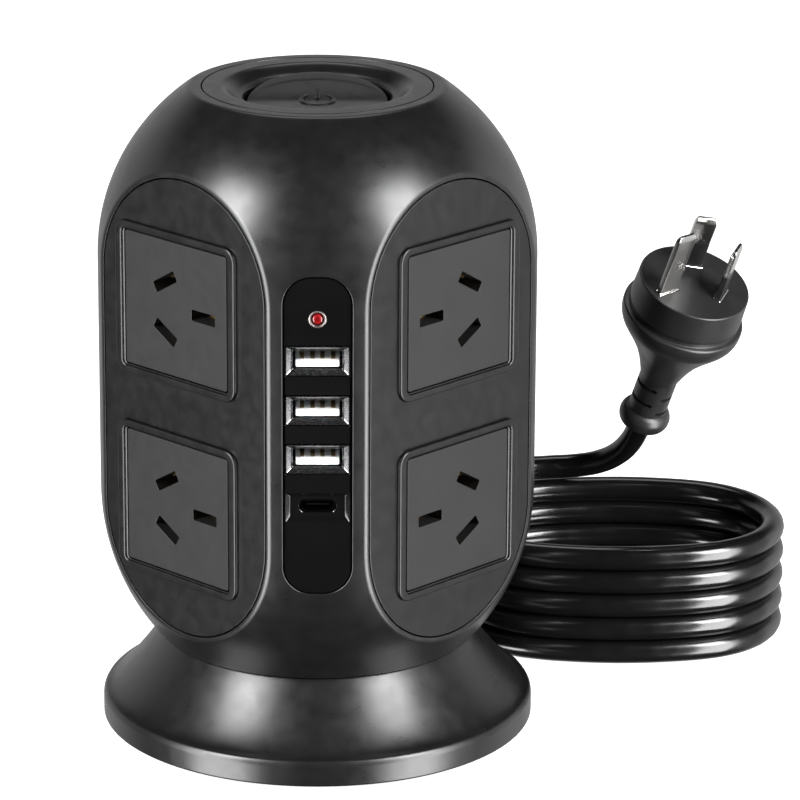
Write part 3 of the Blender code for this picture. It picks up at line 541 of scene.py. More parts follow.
class Shell:
    """The tower's outer moulding: four round corners between the flats, closed above and below.

    Every height carries the same number of points, so the corners join the full rings over and under the
    flats. The same grid, moved in by the wall, makes the inside.
    """

    HALF_COLUMNS = 14

    def __init__(self):
        self.edge_plane = FLAT_D - FLAT_EDGE * math.sqrt(1 - (FLAT_D / BODY_R) ** 2)
        self.edge_w = math.sqrt(BODY_R**2 - self.edge_plane**2)
        self.edge_high = DOME_HIGH * self.edge_w / BODY_R
        self.edge_low = DOME_LOW * self.edge_w / BODY_R
        self.edge = 0.35 * MM  # rounding of the openings in the corners
        panel = PANEL_W / 2 + self.edge, PANEL_H / 2 + self.edge, 7.5 * MM + self.edge
        reset = [RESET_R + 0.4 * MM + self.edge] * 3
        self.holes = {3: Hole(PANEL_Z, *panel), 1: Hole(RESET_Z, *reset)}
        self.skin = Skin()
        self.index = {}

    def heights(self):
        low, high = STRAIGHT_LOW_Z - self.edge_low, STRAIGHT_HIGH_Z + self.edge_high
        kept = [low, STRAIGHT_LOW_Z, STRAIGHT_HIGH_Z, high]
        for hole in self.holes.values():
            kept += hole.levels()
        steps = 22
        for k in range(1, steps):
            rise = math.sin(math.pi / 2 * k / steps)
            for z in (STRAIGHT_HIGH_Z + self.edge_high * rise, STRAIGHT_LOW_Z - self.edge_low * rise):
                if min(abs(z - other) for other in kept) > 0.05 * MM:
                    kept.append(z)
        return sorted({round(z, 8) for z in kept})

    def add(self, point, normal):
        key = tuple(round(c * 1e7) for c in point)
        if key not in self.index:
            self.index[key] = self.skin.ring([point], [normal])[0]
        return self.index[key]

    def surface_point(self, angle, z, depth):
        out, up = dome_slope(z)
        normal = round_point(out, angle, up)
        point = round_point(dome_radius(z), angle, z) - normal * depth
        return self.add(point, normal if depth == 0 else -normal)

    def corner_row(self, corner, z, depth):
        """The left and right halves of a corner at one height, as two rows of points."""
        radius = dome_radius(z)
        flat = math.acos(min(1.0, self.edge_plane / radius))
        reach = math.pi / 4 - flat
        hole = self.holes.get(corner)
        gap = math.asin(hole.half_width(z) / radius) if hole else 0.0
        middle = math.pi / 2 * corner
        rows = []
        for side in (-1, 1):
            spread = [gap + (reach - gap) * k / self.HALF_COLUMNS for k in range(self.HALF_COLUMNS + 1)]
            rows.append([self.surface_point(middle + side * a, z, depth) for a in spread])
        return rows

    def corner(self, corner, heights, depth):
        """Skins one corner, with a triangle over and under an opening, and returns its rows."""
        rows = [self.corner_row(corner, z, depth) for z in heights]
        for low, high in zip(rows, rows[1:]):
            for side in (0, 1):
                self.skin.bridge(low[side], high[side], closed=False)
            low_parted, high_parted = low[0][0] != low[1][0], high[0][0] != high[1][0]
            if low_parted != high_parted:
                parted, met = (low, high) if low_parted else (high, low)
                self.skin.faces.append((parted[0][0], parted[1][0], met[0][0]))
                self.skin.kinds.append(0)
        return rows

    def flat_point(self, angle, side, z, inset, depth):
        """The point of a flat's outline that belongs to a height on its rounded edge, moved in and back."""
        past, dome = into_dome(z)
        up = max(-1.0, min(1.0, past / (dome * self.edge_w / BODY_R)))
        u = side * (FLAT_HALF_W - inset) * math.sqrt(1 - up**2)
        v = z - past + (dome * FLAT_HALF_W / BODY_R - inset) * up
        out = outward(angle)
        return out * (FLAT_D - depth) + UP.cross(out) * u + UP * v

    def sweep(self, start, rings, normals, end):
        """Joins a loop of the outside to the same loop of the inside, by way of rings of new points."""
        last = start
        for points, facing in zip(rings, normals):
            ring = self.skin.ring(points, facing)
            self.skin.bridge(last, ring)
            last = ring
        self.skin.bridge(last, end)

    def blend(self, starts, controls, ends, start_normals, end_normals, steps=6):
        """Rings that round an edge between two surfaces."""
        rings, normals = [], []
        for k in range(1, steps + 1):
            t = k / steps
            bend = zip(starts, controls, ends)
            rings.append([a * (1 - t) ** 2 + b * (2 * t * (1 - t)) + c * t**2 for a, b, c in bend])
            normals.append([a.lerp(b, t).normalized() for a, b in zip(start_normals, end_normals)])
        return rings, normals

    def loops(self, outside, inside, walk, column):
        """Both grids' point numbers along a walk of (row, corner, half), and the outer points and normals."""
        outer, inner = ([grid[c][i][half][column] for i, c, half in walk] for grid in (outside, inside))
        return outer, inner, [self.skin.points[i] for i in outer], [self.skin.normals[i] for i in outer]

    def flat_edge(self, corner, heights, outside, inside):
        """Rounds the outline of the flat that follows a corner, and drops the wall behind its plate."""
        angle = math.pi / 2 * corner + math.pi / 4
        after = (corner + 1) % 4
        last = len(heights) - 1
        # u runs with the angle: the corner before the flat, by its half 1, is on the -u side
        walk = [(i, corner, 1) for i in range(last + 1)] + [(i, after, 0) for i in range(last - 1, 0, -1)]
        outer, inner, starts, facing = self.loops(outside, inside, walk, -1)

        def ring(inset, depth):
            return [self.flat_point(angle, 1 - 2 * half, heights[i], inset, depth) for i, c, half in walk]

        flat = [outward(angle)] * len(walk)
        rings, normals = self.blend(starts, ring(0, 0), ring(0.8 * FLAT_EDGE, 0), facing, flat)
        lip = 0.12 * MM
        wall = [(b - a).normalized() for a, b in zip(ring(0, 0), ring(PLATE_RIM, 0))]
        rings += [ring(PLATE_RIM - lip, 0), ring(PLATE_RIM, lip), ring(PLATE_RIM, PLATE_T + GAP)]
        normals += [flat, wall, wall]
        self.sweep(outer, rings, normals, inner)

    def hole_edge(self, corner, heights, outside, inside):
        """Rounds the edge of an opening, and drops its wall straight in."""
        hole = self.holes[corner]
        out = outward(math.pi / 2 * corner)
        across = UP.cross(out)
        rows = [i for i, z in enumerate(heights) if abs(z - hole.z) <= hole.half_h + 1e-7]
        left, right = outside[corner][rows[0]]
        back = rows[1:-1] if left[0] == right[0] else rows
        walk = [(i, corner, 1) for i in rows] + [(i, corner, 0) for i in reversed(back)]
        outer, inner, starts, facing = self.loops(outside, inside, walk, 0)
        inward = [hole.inward(2 * half - 1, heights[i]) for i, c, half in walk]
        shift = [across * a + UP * u for a, u in inward]
        controls = [p + d * self.edge for p, d in zip(starts, shift)]
        ends = [p - out * self.edge for p in controls]
        floor = [p - out * (p.dot(out) - (BODY_R - 4.4 * MM)) for p in ends]
        rings, normals = self.blend(starts, controls, ends, facing, shift, 4)
        self.sweep(outer, rings + [floor], normals + [shift], inner)

    def full_ring(self, radius, z, normal):
        """A ring over or under the flats, with the columns of the corners' last row."""
        columns = 8 * self.HALF_COLUMNS
        angles = [2 * math.pi * k / columns for k in range(columns)]
        return [self.add(round_point(radius, a, z), round_point(normal[0], a, normal[1])) for a in angles]

    def close(self, profile):
        """Rings from the outside's last height, over an end, to the inside's last height."""
        rings = [self.full_ring(*row) for row in profile]
        for a, b in zip(rings, rings[1:]):
            self.skin.bridge(a, b)

    def dome_rows(self, start, end, depth):
        rows = []
        steps = 9
        for k in range(steps + 1):
            z = start + (end - start) * math.sin(math.pi / 2 * k / steps)
            out, up = dome_slope(z)
            facing = (out, up) if depth == 0 else (-out, -up)
            rows.append((dome_radius(z) - out * depth, z - up * depth, facing))
        return rows

    def end_rows(self, points, radii, facing):
        """Rows along a softened outline of (radius, height), each facing square to it, up or down."""
        outline = soften(points, radii, 5)
        rows = []
        for k in range(1, len(outline) - 1):
            before, after = Vector(outline[k - 1]), Vector(outline[k + 1])
            along = (after - before).normalized()
            rows.append((*outline[k], (facing * along.y, -facing * along.x)))
        return rows

    def build(self):
        heights = self.heights()
        outside = [self.corner(c, heights, 0) for c in range(4)]
        inside = [self.corner(c, heights, WALL) for c in range(4)]
        for corner in range(4):
            self.flat_edge(corner, heights, outside, inside)
        for corner in self.holes:
            self.hole_edge(corner, heights, outside, inside)
        self.close_top(heights[-1])
        self.close_bottom(heights[0])
        return self.skin

    def close_top(self, start):
        corner_r = dome_radius(TOP_Z - 1e-6)
        outer = self.dome_rows(start, TOP_Z - 0.9 * MM, 0)
        ledge = CAP_R - 2.2 * MM
        over = [
            outer[-1][:2], (corner_r - 0.1 * MM, TOP_Z), (CAP_R, TOP_Z), (CAP_R, TOP_Z - 2.8 * MM),
            (ledge, TOP_Z - 2.8 * MM), (ledge, TOP_Z - 5.0 * MM),
        ]
        rows = self.end_rows(over, [0.8 * MM, 0.2 * MM, 0.1 * MM, 0.2 * MM], 1)
        inner = self.dome_rows(start, TOP_Z - 6.0 * MM, WALL)[::-1]
        self.close(outer + rows + inner)

    def close_bottom(self, start):
        outer = self.dome_rows(start, SHELL_BOTTOM_Z + 0.25 * MM, 0)
        edge_r = dome_radius(SHELL_BOTTOM_Z)
        hole_r = 31 * MM
        under = [outer[-1][:2], (edge_r, SHELL_BOTTOM_Z), (hole_r, SHELL_BOTTOM_Z)]
        under.append((hole_r, SHELL_BOTTOM_Z + 2 * MM))
        rows = self.end_rows(under, [0.25 * MM, 0.2 * MM], -1)
        inner = self.dome_rows(start, SHELL_BOTTOM_Z + 2.6 * MM, WALL)[::-1]
        self.close(outer + rows + inner)


def tower_shell():
    """The shell carries its own point normals, so its points aren't merged and it has no sharp edges."""
    skin = Shell().build()
    mesh = skin.mesh("shell")
    shell = add_object("shell", mesh)
    bm = bmesh.new()
    bm.from_mesh(mesh)
    bmesh.ops.recalc_face_normals(bm, faces=bm.faces)
    bm.to_mesh(mesh)
    bm.free()
    mesh.materials.append(PAINTS["body_black"].material)
    mesh.shade_smooth()
    mesh.normals_split_custom_set_from_vertices([n.normalized() for n in skin.normals])
    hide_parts("tower_shell")
    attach(shell, "tower")


# --- Face plates and sockets -------------------------------------------------------------------------


def flat_outline(inset):
    """A flat's outline, moved in: a half-ellipse over and under a straight part."""
    steps = 26
    half_w = FLAT_HALF_W - inset
    upper = DOME_HIGH * FLAT_HALF_W / BODY_R - inset
    lower = DOME_LOW * FLAT_HALF_W / BODY_R - inset
    points = []
    for middle, half, start in ((STRAIGHT_HIGH_Z, upper, 0), (STRAIGHT_LOW_Z, lower, math.pi)):
        for k in range(steps + 1):
            angle = start + math.pi * k / steps
            points.append((half_w * math.cos(angle), middle + half * math.sin(angle)))
    return points


def frame_outline(share, z):
    """From the frame's outer edge (share 0) to its opening (share 1)."""
    width = FRAME_W + (INSERT_W - FRAME_W) * share
    height = FRAME_H + (INSERT_H - FRAME_H) * share
    radius = 4.0 * MM + (1.0 - 4.0) * MM * share
    return rounded_rectangle(width, height, radius, 8, (SOCKET_U, z))


def face_plate(face):
    """A plate that fills its flat, with a raised, rounded frame round each socket."""
    skin = Skin()
    inset = PLATE_RIM + GAP
    edge = 0.22 * MM
    side = [(inset, -PLATE_T), (inset, -edge), (inset + 0.3 * edge, -0.3 * edge), (inset + edge, 0)]
    back, front = skin.loft(layers(flat_outline, side))
    # (share of the way to the opening, mm over the plate): foot, side, rounded top, inner edge
    section = [
        (-0.045, 0.0), (-0.01, 0.03), (0.0, 0.12), (0.02, 0.72), (0.06, 0.98), (0.13, 1.14), (0.22, 1.2),
        (0.66, 1.2), (0.76, 1.16), (0.83, 1.05), (0.87, 0.88), (0.885, 0.6),
    ]
    openings = []
    for z in SOCKET_Z.values():
        rings = [level(frame_outline(share, z), height * MM) for share, height in section]
        rings += [level(frame_outline(1.0, z), height * MM) for height in (0.5, 0.35, -PLATE_T / MM)]
        openings.append(rings)
    skin.pierce(front, back, openings)
    plate = solid(f"plate_{face}", skin, face_matrix(face, FLAT_D))
    finish_piece(plate, "plate_black", f"face_plate_{face}", slot="face_grey", angle=38)


def live_slots():
    """Middle and tilt of the two tilted slots, from the socket's middle."""
    for sign in (1, -1):
        yield (-PIN_CIRCLE_LIVE / 2, sign * PIN_CIRCLE_LIVE * math.sin(math.radians(60)), sign * LIVE_TILT)


def turned_outline(outline, x, y, angle):
    turn = Matrix.Rotation(angle, 2)
    return [(x + p.x, y + p.y) for p in (turn @ Vector(q) for q in outline)]


def socket_insert(face, socket_level):
    """The flat front of a socket, with three slots chamfered at the mouth."""
    skin = Skin()
    z = SOCKET_Z[socket_level]
    width, height = INSERT_W - 2 * GAP, INSERT_H - 2 * GAP
    edge = 0.4 * MM
    depth = 8.0 * MM

    def outline(shrink):
        radius = max(0.25 * MM, 0.8 * MM - shrink)
        return rounded_rectangle(width - 2 * shrink, height - 2 * shrink, radius, 3, (SOCKET_U, z))

    side = [(0, -depth), (0, -edge), (0.1 * edge, -0.45 * edge), (0.4 * edge, -0.1 * edge), (edge, 0)]
    back, front = skin.loft(layers(outline, side))
    slots = []
    chamfer = 0.22 * MM
    for x, y, angle in [*live_slots(), (EARTH_OFFSET, 0, 0)]:
        rings = []
        for grow, w in ((chamfer, 0), (0.3 * chamfer, -0.3 * chamfer), (0, -chamfer), (0, -depth)):
            slot = rounded_rectangle(SLOT_L + 2 * grow, SLOT_W + 2 * grow, 0.3 * MM + grow, 2)
            rings.append(level(turned_outline(slot, SOCKET_U + x, z + y, angle), w))
        slots.append(rings)
    skin.pierce(front, back, slots)
    insert = solid(f"insert_{face}_{socket_level}", skin, face_matrix(face, FLAT_D + INSERT_PROUD))
    finish_piece(insert, "face_grey", f"socket_{face}_{socket_level}")


# --- USB panel ---------------------------------------------------------------------------------------


def port_rings(sections, z, steps=4):
    """Rings from (width, height, corner radius, height over the panel) in mm."""
    return [level(rounded_rectangle(w, h, r, steps, (0, z)), d) for w, h, r, d in in_mm(sections)]


def on_panel(name, skin, paints, stands_for, **looks):
    finish_piece(solid(name, skin, panel_matrix()), paints, stands_for, **looks)


def usb_panel():
    """Gloss panel with openings for three steel ports, the LED and, in a bevelled recess, the USB-C port."""
    skin = Skin()
    edge = 0.35 * MM
    thick = 3.4 * MM
    lip = 1.3 * MM
    back_z = -thick - lip

    def outline(shrink):
        width, height = PANEL_W - 2 * GAP - 2 * shrink, PANEL_H - 2 * GAP - 2 * shrink
        return rounded_rectangle(width, height, 7.2 * MM - shrink, 12, (0, PANEL_Z))

    def window(grow, z):
        width, height = PORT_W + 2 * GAP + 2 * grow, PORT_H + 2 * GAP + 2 * grow
        return rounded_rectangle(width, height, 0.4 * MM + grow, 3, (0, z))

    side = [
        (-lip, back_z), (-lip, -thick), (0, -thick), (0, -edge), (0.1 * edge, -0.5 * edge),
        (0.35 * edge, -0.15 * edge), (edge, 0),
    ]
    back, front = skin.loft(layers(outline, side))
    chamfer = 0.12 * MM
    cuts = ((chamfer, 0), (0, -chamfer), (0, back_z))
    openings = [[level(window(grow, z), w) for grow, w in cuts] for z in USB_A_Z]
    recess = [(16.4, 7.7, 0.25, 0), (16.2, 7.5, 0.2, -0.1), (14.3, 5.7, 0.15, -0.95), (14.1, 5.5, 0.15, -1.0)]
    for grow, depth in ((0.15, -1.0), (0, -1.15), (0, back_z / MM)):
        recess.append((9.6 + 2 * grow, 3.5 + 2 * grow, 1.74 + grow, depth))
    openings.append(port_rings(recess, USB_C_Z, 8))
    led_hole = in_mm([(2.45, 0), (2.35, -0.1), (2.35, back_z / MM)])
    openings.append(layers(lambda radius: circle(radius, 48, (0, LED_Z)), led_hole))
    skin.pierce(front, back, openings)
    on_panel("panel", skin, "panel_gloss", "usb_panel", angle=28)


def usb_a_port(number, z):
    """Steel mouth and shell, and the white tongue with four sprung contacts."""
    inside = [
        (15.9, 7.3, 0.3, 0.0), (13.75, 5.65, 0.35, -1.15), (13.5, 5.4, 0.4, -1.2), (13.1, 5.2, 0.4, -1.2),
        (12.9, 5.0, 0.4, -1.35), (12.6, 4.9, 0.4, -12.8),
    ]
    outside = [
        (16.2, 7.6, 0.35, 0.0), (16.2, 7.6, 0.35, -0.35), (13.9, 6.0, 0.5, -1.7), (13.3, 5.7, 0.6, -2.1),
        (13.1, 5.6, 0.6, -13.3),
    ]
    shell = Skin().capped(port_rings(inside[::-1] + outside, z))
    on_panel(f"usb_a_mouth_{number}", shell, "usb_steel", f"usb_a_shell_{number}", angle=25)
    usb_a_tongue(number, z)


def usb_a_tongue(number, z):
    steps = [(10.9, 1.5, 0.3, -2.0), (11.3, 1.8, 0.3, -2.3), (11.4, 1.8, 0.3, -12.4)]
    skin = Skin().capped(port_rings(steps, z - 1.25 * MM))
    skin.capped(port_rings([(11.6, 4.2, 0.3, -10.6), (11.6, 4.2, 0.3, -12.5)], z))
    pitch, outer_shift = 2.5 * MM, 0.25 * MM
    for place, outwards in ((-1.5, -1), (-0.5, 0), (0.5, 0), (1.5, 1)):
        contact_spring(skin, place * pitch + outwards * outer_shift, z)
    on_panel(f"usb_a_tongue_detail_{number}", skin, ["usb_white", "contacts"], f"usb_a_tongue_{number}")


def contact_spring(skin, x, z):
    """A flat spring that bows up from the tongue."""
    line = [
        (-3.2, -0.30), (-3.7, 0.1), (-4.4, 0.5), (-5.2, 0.7), (-6.2, 0.6), (-7.6, 0.2), (-9.4, -0.1),
        (-10.8, -0.2),
    ]
    half, thick = 0.55 * MM, 0.22 * MM
    rings = []
    for depth, rise in in_mm(line):
        low, high = z + rise, z + rise + thick
        rings.append(level([(x - half, low), (x + half, low), (x + half, high), (x - half, high)], depth))
    skin.capped(rings, kind=1)


def usb_c_port():
    """Thin-walled oval shell with a flat tongue."""
    sizes = [
        (8.35, 2.55, -7.6), (8.35, 2.55, -1.75), (8.5, 2.7, -1.6), (8.8, 3.0, -1.6), (8.95, 3.15, -1.75),
        (8.95, 3.15, -8.2),
    ]
    shell = Skin().capped(port_rings([(w, h, h / 2 - 0.02, d) for w, h, d in sizes], USB_C_Z, 8))
    on_panel("usb_c_mouth", shell, "port_black", "usb_c_shell", slot="usb_steel")
    tongue = [(6.2, 0.4, 0.1, -2.7), (6.5, 0.68, 0.15, -3.0), (6.6, 0.7, 0.15, -7.4)]
    tongue = Skin().capped(port_rings(tongue, USB_C_Z))
    on_panel("usb_c_tongue_detail", tongue, "panel_gloss", "usb_c_tongue", slot="usb_steel")


def led():
    place = panel_matrix() @ move_by(0, LED_Z, 0)
    ring = [
        (2.3, -2.4), (2.3, -0.1), (2.2, 0.18), (2.05, 0.26), (1.92, 0.26), (1.80, 0.14), (1.60, -0.3),
        (1.60, -2.4),
    ]
    lens = [
        (0, -0.30), (0.55, -0.30), (0.60, 0.10), (0.95, 0.14), (1.20, 0.02), (1.32, -0.25), (1.35, -2.2),
        (0, -2.2),
    ]
    bezel = solid("led_bezel", lathe(in_mm(ring), 48), place)
    finish_piece(bezel, "led_ring", "led_ring", slot="nickel")
    finish_piece(solid("led_dome", lathe(in_mm(lens), 40), place), "led_red", "led_lens")


# --- Cap, rocker and reset button --------------------------------------------------------------------


def wave(start, end):
    """An S-shaped run between two (radius, height) points."""
    steps = 10
    return [
        (start[0] + (end[0] - start[0]) * k / steps,
         start[1] + (end[1] - start[1]) * (1 - math.cos(math.pi * k / steps)) / 2)
        for k in range(steps + 1)
    ]


def top_cap():
    """Flat ring that runs down through a rounded dish to the rocker's bore."""
    side_r = CAP_R - GAP
    lip = soften([(side_r, TOP_Z - 2.4 * MM), (side_r, TOP_Z), (26 * MM, TOP_Z)], 0.35 * MM)
    dish = wave((25.6 * MM, TOP_Z), (20.6 * MM, TOP_Z - 2.55 * MM))
    inside = [
        (20.0 * MM, 2.7), (19.65 * MM, 2.95), (BORE_R, 3.3), (BORE_R, 10.5), (21.4 * MM, 10.5),
        (21.4 * MM, 4.7), (23.4 * MM, 2.4),
    ]
    inside = [(radius, TOP_Z - depth * MM) for radius, depth in inside]
    cap = solid("cap", lathe(lip + dish + inside, 128))
    notches = []
    half = 1.7 * MM
    for side in (-1, 1):
        x0, x1 = sorted((side * 18.0 * MM, side * 22.6 * MM))
        corners = [(x0, -half), (x1, -half), (x1, half), (x0, half)]
        notch = [level(corners, z) for z in (TOP_Z - 15 * MM, PIVOT.z + half)]
        notches.append(solid(f"notch_{side}", Skin().capped(notch)))
    finish_piece(carve(cap, *notches), "body_black", "top_cap")


def rocker_height(x, y):
    """Height of the rocker's top over its pivot: a soft V inside the crease, level bands outside it."""
    crease_y = CREASE_Y * math.sqrt(max(0.0, 1 - (x / CREASE_X) ** 2))
    reach = min(abs(y), crease_y)
    return ROCKER_HEIGHT + ROCKER_SLOPE * (math.hypot(reach, 3 * MM) - 3 * MM)


def power_rocker():
    """Round rocker with pivot pins; a power mark is raised in the middle of its top."""
    skin = Skin()
    sides = 128
    edge = 0.5 * MM
    inner_r = ROCKER_R - edge

    def crease(angle):
        polar = 1 / math.hypot(math.cos(angle) / CREASE_X, math.sin(angle) / CREASE_Y)
        return min(polar, inner_r - 0.3 * MM)

    def top_ring(reach):
        """A ring on the top: reach 0 to 1 runs from the middle to the crease, and 1 to 2 on to the edge."""
        ring = []
        for k in range(sides):
            angle = 2 * math.pi * k / sides
            radius = crease(angle) * min(reach, 1) + (inner_r - crease(angle)) * max(reach - 1, 0)
            x, y = radius * math.cos(angle), radius * math.sin(angle)
            ring.append((x, y, rocker_height(x, y)))
        return ring

    rings = [top_ring(k / 12) for k in range(13)] + [top_ring(1 + k / 4) for k in range(1, 5)]
    rim = rings[-1]
    for share in (0.35, 0.7, 1.0):
        out = 1 + math.sin(math.pi / 2 * share) * edge / inner_r
        drop = (1 - math.cos(math.pi / 2 * share)) * edge
        rings.append([(x * out, y * out, z - drop) for x, y, z in rim])
    rings += [level(circle(radius, sides), 1.0 * MM) for radius in (ROCKER_R, ROCKER_R - 1.6 * MM)]
    skin.fill(skin.loft(rings)[1])
    rocker = solid("rocker_button", skin)
    pins = [solid(f"pivot_{side}", rocker_pin(side)) for side in (-1, 1)]
    carve(rocker, *pins, power_ring(), power_bar(), operation="UNION")
    rocker.data.transform(Matrix.Translation(PIVOT) @ turn_by(ROCKER_TILT, "X"))
    finish_piece(rocker, "body_black", "power_rocker", body="rocker", angle=35)


def rocker_pin(side):
    """A pin along X under the rocker's rim, with a domed end."""
    ends = [(15.0, 1.5), (18.3, 1.5), (18.4, 1.2), (20.3, 1.2), (20.7, 1.0), (20.9, 0.6)]
    return Skin().capped([[(side * x, y, z) for y, z in circle(r, 24)] for x, r in in_mm(ends)])


def bead(x, y, angle):
    """A cross-section of the power mark at a place on the rocker's top, square to the mark's run."""
    half, proud = 0.62 * MM, 0.38 * MM
    section = [(-half, -0.5 * MM), (-half, 0.1 * MM), (-0.6 * half, 0.8 * proud), (0, proud)]
    section += [(-across, up) for across, up in section[2::-1]]
    ring = []
    for across, up in section:
        at_x, at_y = x + across * math.cos(angle), y + across * math.sin(angle)
        ring.append((at_x, at_y, rocker_height(at_x, at_y) + up))
    return ring


def power_ring():
    """The open ring of a power mark: a rounded bead that follows the rocker's top."""
    rings = []
    gap = math.radians(38)
    steps = 44
    for k in range(steps + 1):
        angle = math.pi / 2 + gap + (2 * math.pi - 2 * gap) * k / steps
        rings.append(bead(POWER_MARK_R * math.cos(angle), POWER_MARK_R * math.sin(angle), angle))
    return solid("power_ring", Skin().capped(rings))


def power_bar():
    rings = [bead(0, (1.2 + 5.4 * k / 8) * MM, 0) for k in range(9)]
    return solid("power_bar", Skin().capped(rings))


def reset_button():
    """Round push button with a dished end."""
    depth = RESET_TIP_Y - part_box("reset_button")[0].y
    profile = in_mm([(0, -0.35), (1.6, -0.3), (2.7, -0.06), (3.1, 0), (3.55, -0.06), (3.85, -0.25)])
    profile += [(RESET_R, -0.6 * MM), (RESET_R, -3.1 * MM)]
    profile += [(2.6 * MM, -3.1 * MM), (2.6 * MM, -depth), (0, -depth)]
    place = move_by(0, RESET_TIP_Y, RESET_Z) @ turn_by(-math.pi / 2, "X")
    finish_piece(solid("reset_push", lathe(profile, 64), place), "body_black", "reset_button", body="reset")


# --- Base --------------------------------------------------------------------------------------------


def base_shell():
    """Flared foot: a hollow curve from the neck to a soft crease, then a rounded rim."""
    neck_r, neck_z = 42.3 * MM, 25.2 * MM
    crease_r, crease_z = 56.2 * MM, 8.45 * MM
    rim_r = BODY_R / MM
    flare = []
    for k in range(17):
        share = k / 16
        height = crease_z + (neck_z - crease_z) * (1 - share) ** 1.2
        flare.append((neck_r + (crease_r - neck_r) * share, height))
    neck = [(31 * MM, neck_z), (41.9 * MM, neck_z), (42.25 * MM, neck_z - 0.12 * MM)]
    rim = in_mm([(57.5, 8.0), (rim_r, 6.8), (rim_r, 1.3), (57.7, 0.9), (55.4, 0.9)])
    rim = soften([flare[-1], *rim], [0.5 * MM, 0.9 * MM, 0.5 * MM, 0.3 * MM])
    inner = in_mm([(55.4, 6.2), (48.5, 12.2), (40.0, 22.6), (31, 22.6)])
    base = solid("foot_flare", lathe(neck + flare[1:-1] + rim + inner, 144))
    bore = lathe(in_mm([(0, -75), (5.7, -75), (5.7, -35), (0, -35)]), 48)
    hole = solid("gland_hole", bore, move_by(0, 0, GLAND_Z) @ turn_by(math.pi / 2, "X"))
    finish_piece(carve(base, hole), "body_black", "base_shell", angle=24)


def base_cover():
    """Underside plate with a turned groove, and four ribbed rubber feet in its pockets."""
    corner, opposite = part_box("base_cover")
    r, low, high = opposite.x, corner.z, opposite.z
    profile = [(0, high), (r, high), *soften([(r, high), (r, low), (30 * MM, low)], 0.3 * MM)[1:]]
    profile += [(29.5 * MM, low + 0.5 * MM), (27.5 * MM, low + 0.5 * MM), (27 * MM, low), (0, low)]
    cover = solid("underside", lathe(profile, 96))
    cutters = []
    for number in range(1, 5):
        corner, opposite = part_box(f"foot_{number}")
        centre = (corner + opposite) / 2
        place = move_by(centre.x, centre.y, 0)
        foot_r = (opposite.x - corner.x) / 2
        pocket = [(0, 0), (foot_r + GAP, 0), (foot_r + GAP, 2.5 * MM), (0, 2.5 * MM)]
        cutters.append(solid("pocket", lathe(pocket, 48), place))
        pad = in_mm([(0, 0.3), (3.4, 0.3), (3.7, 0), (4.6, 0), (4.9, 0.3), (5.4, 0.3), (5.7, 0), (6.5, 0)])
        pad += [(foot_r, 0.5 * MM), (foot_r, opposite.z), (0, opposite.z)]
        finish_piece(solid(f"foot_pad_{number}", lathe(pad, 48), place), "rubber", f"foot_{number}")
    finish_piece(carve(cover, *cutters), "body_black", "base_cover")


# --- Cord, gland and plug ----------------------------------------------------------------------------


def gland():
    """Tapered strain relief with rounded ribs towards its end."""
    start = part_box("cord_gland")[0].y
    profile = [(0, start), (6.6 * MM, start), *in_mm([(6.6, 42.6), (5.3, 42.8), (5.3, 57.8)])]
    first, last = 59.5 * MM, GLAND_END_Y - 1.0 * MM
    steps, ribs = 60, 7
    for k in range(steps + 1):
        along = k / steps
        taper = 5.25 - 0.95 * along
        rib = 0.22 * max(0.0, math.cos(2 * math.pi * ribs * along)) * (1 - 0.3 * along)
        profile.append(((taper + rib) * MM, first + (last - first) * along))
    profile += [(4.2 * MM, GLAND_END_Y - 0.2 * MM), (3.9 * MM, GLAND_END_Y), (0, GLAND_END_Y)]
    relief = solid("strain_relief", lathe(profile, 64), move_by(0, 0, GLAND_Z) @ turn_by(-math.pi / 2, "X"))
    return finish_piece(relief, "plug_black", "cord_gland", slot="cord_black")


def coil_turns():
    """The middle of the cord down the coil: clockwise ovals that step up a pitch behind the tower."""
    shift = COIL_HALF_L - COIL_END_R
    side_drop = math.sqrt((COIL_SIDE_R - COIL_END_R) ** 2 - shift**2)
    half = math.atan2(shift, side_drop)
    quarter = math.pi / 2
    # centre, radius, first and last angle, points: back run's second half, right end, front, left end, back
    arcs = [
        ((0, -side_drop), COIL_SIDE_R, quarter, quarter - half, 3),
        ((shift, 0), COIL_END_R, quarter - half, -quarter + half, 10),
        ((0, side_drop), COIL_SIDE_R, -quarter + half, -quarter - half, 5),
        ((-shift, 0), COIL_END_R, -quarter - half, -3 * quarter + half, 10),
        ((0, -side_drop), COIL_SIDE_R, quarter + half, quarter, 2),
    ]
    step_from, step_to = math.radians(-125), math.radians(-235)
    points = []
    for turn in range(TURNS):
        for number, (centre, radius, start, end, count) in enumerate(arcs):
            for k in range(count):
                angle = start + (end - start) * k / count
                share = 0.0
                if number == 3:
                    share = min(1.0, max(0.0, (step_from - angle) / (step_from - step_to)))
                if number == 4:
                    share = 1.0
                if turn == TURNS - 1 and (number == 4 or number == 3 and angle < step_to):
                    return points
                rise = (1 - math.cos(math.pi * share)) / 2
                x = COIL_X + centre[0] + radius * math.cos(angle)
                y = COIL_Y + centre[1] + radius * math.sin(angle)
                points.append(Vector((x, y, CORD_D / 2 + TURN_PITCH * (turn + rise))))
    return points


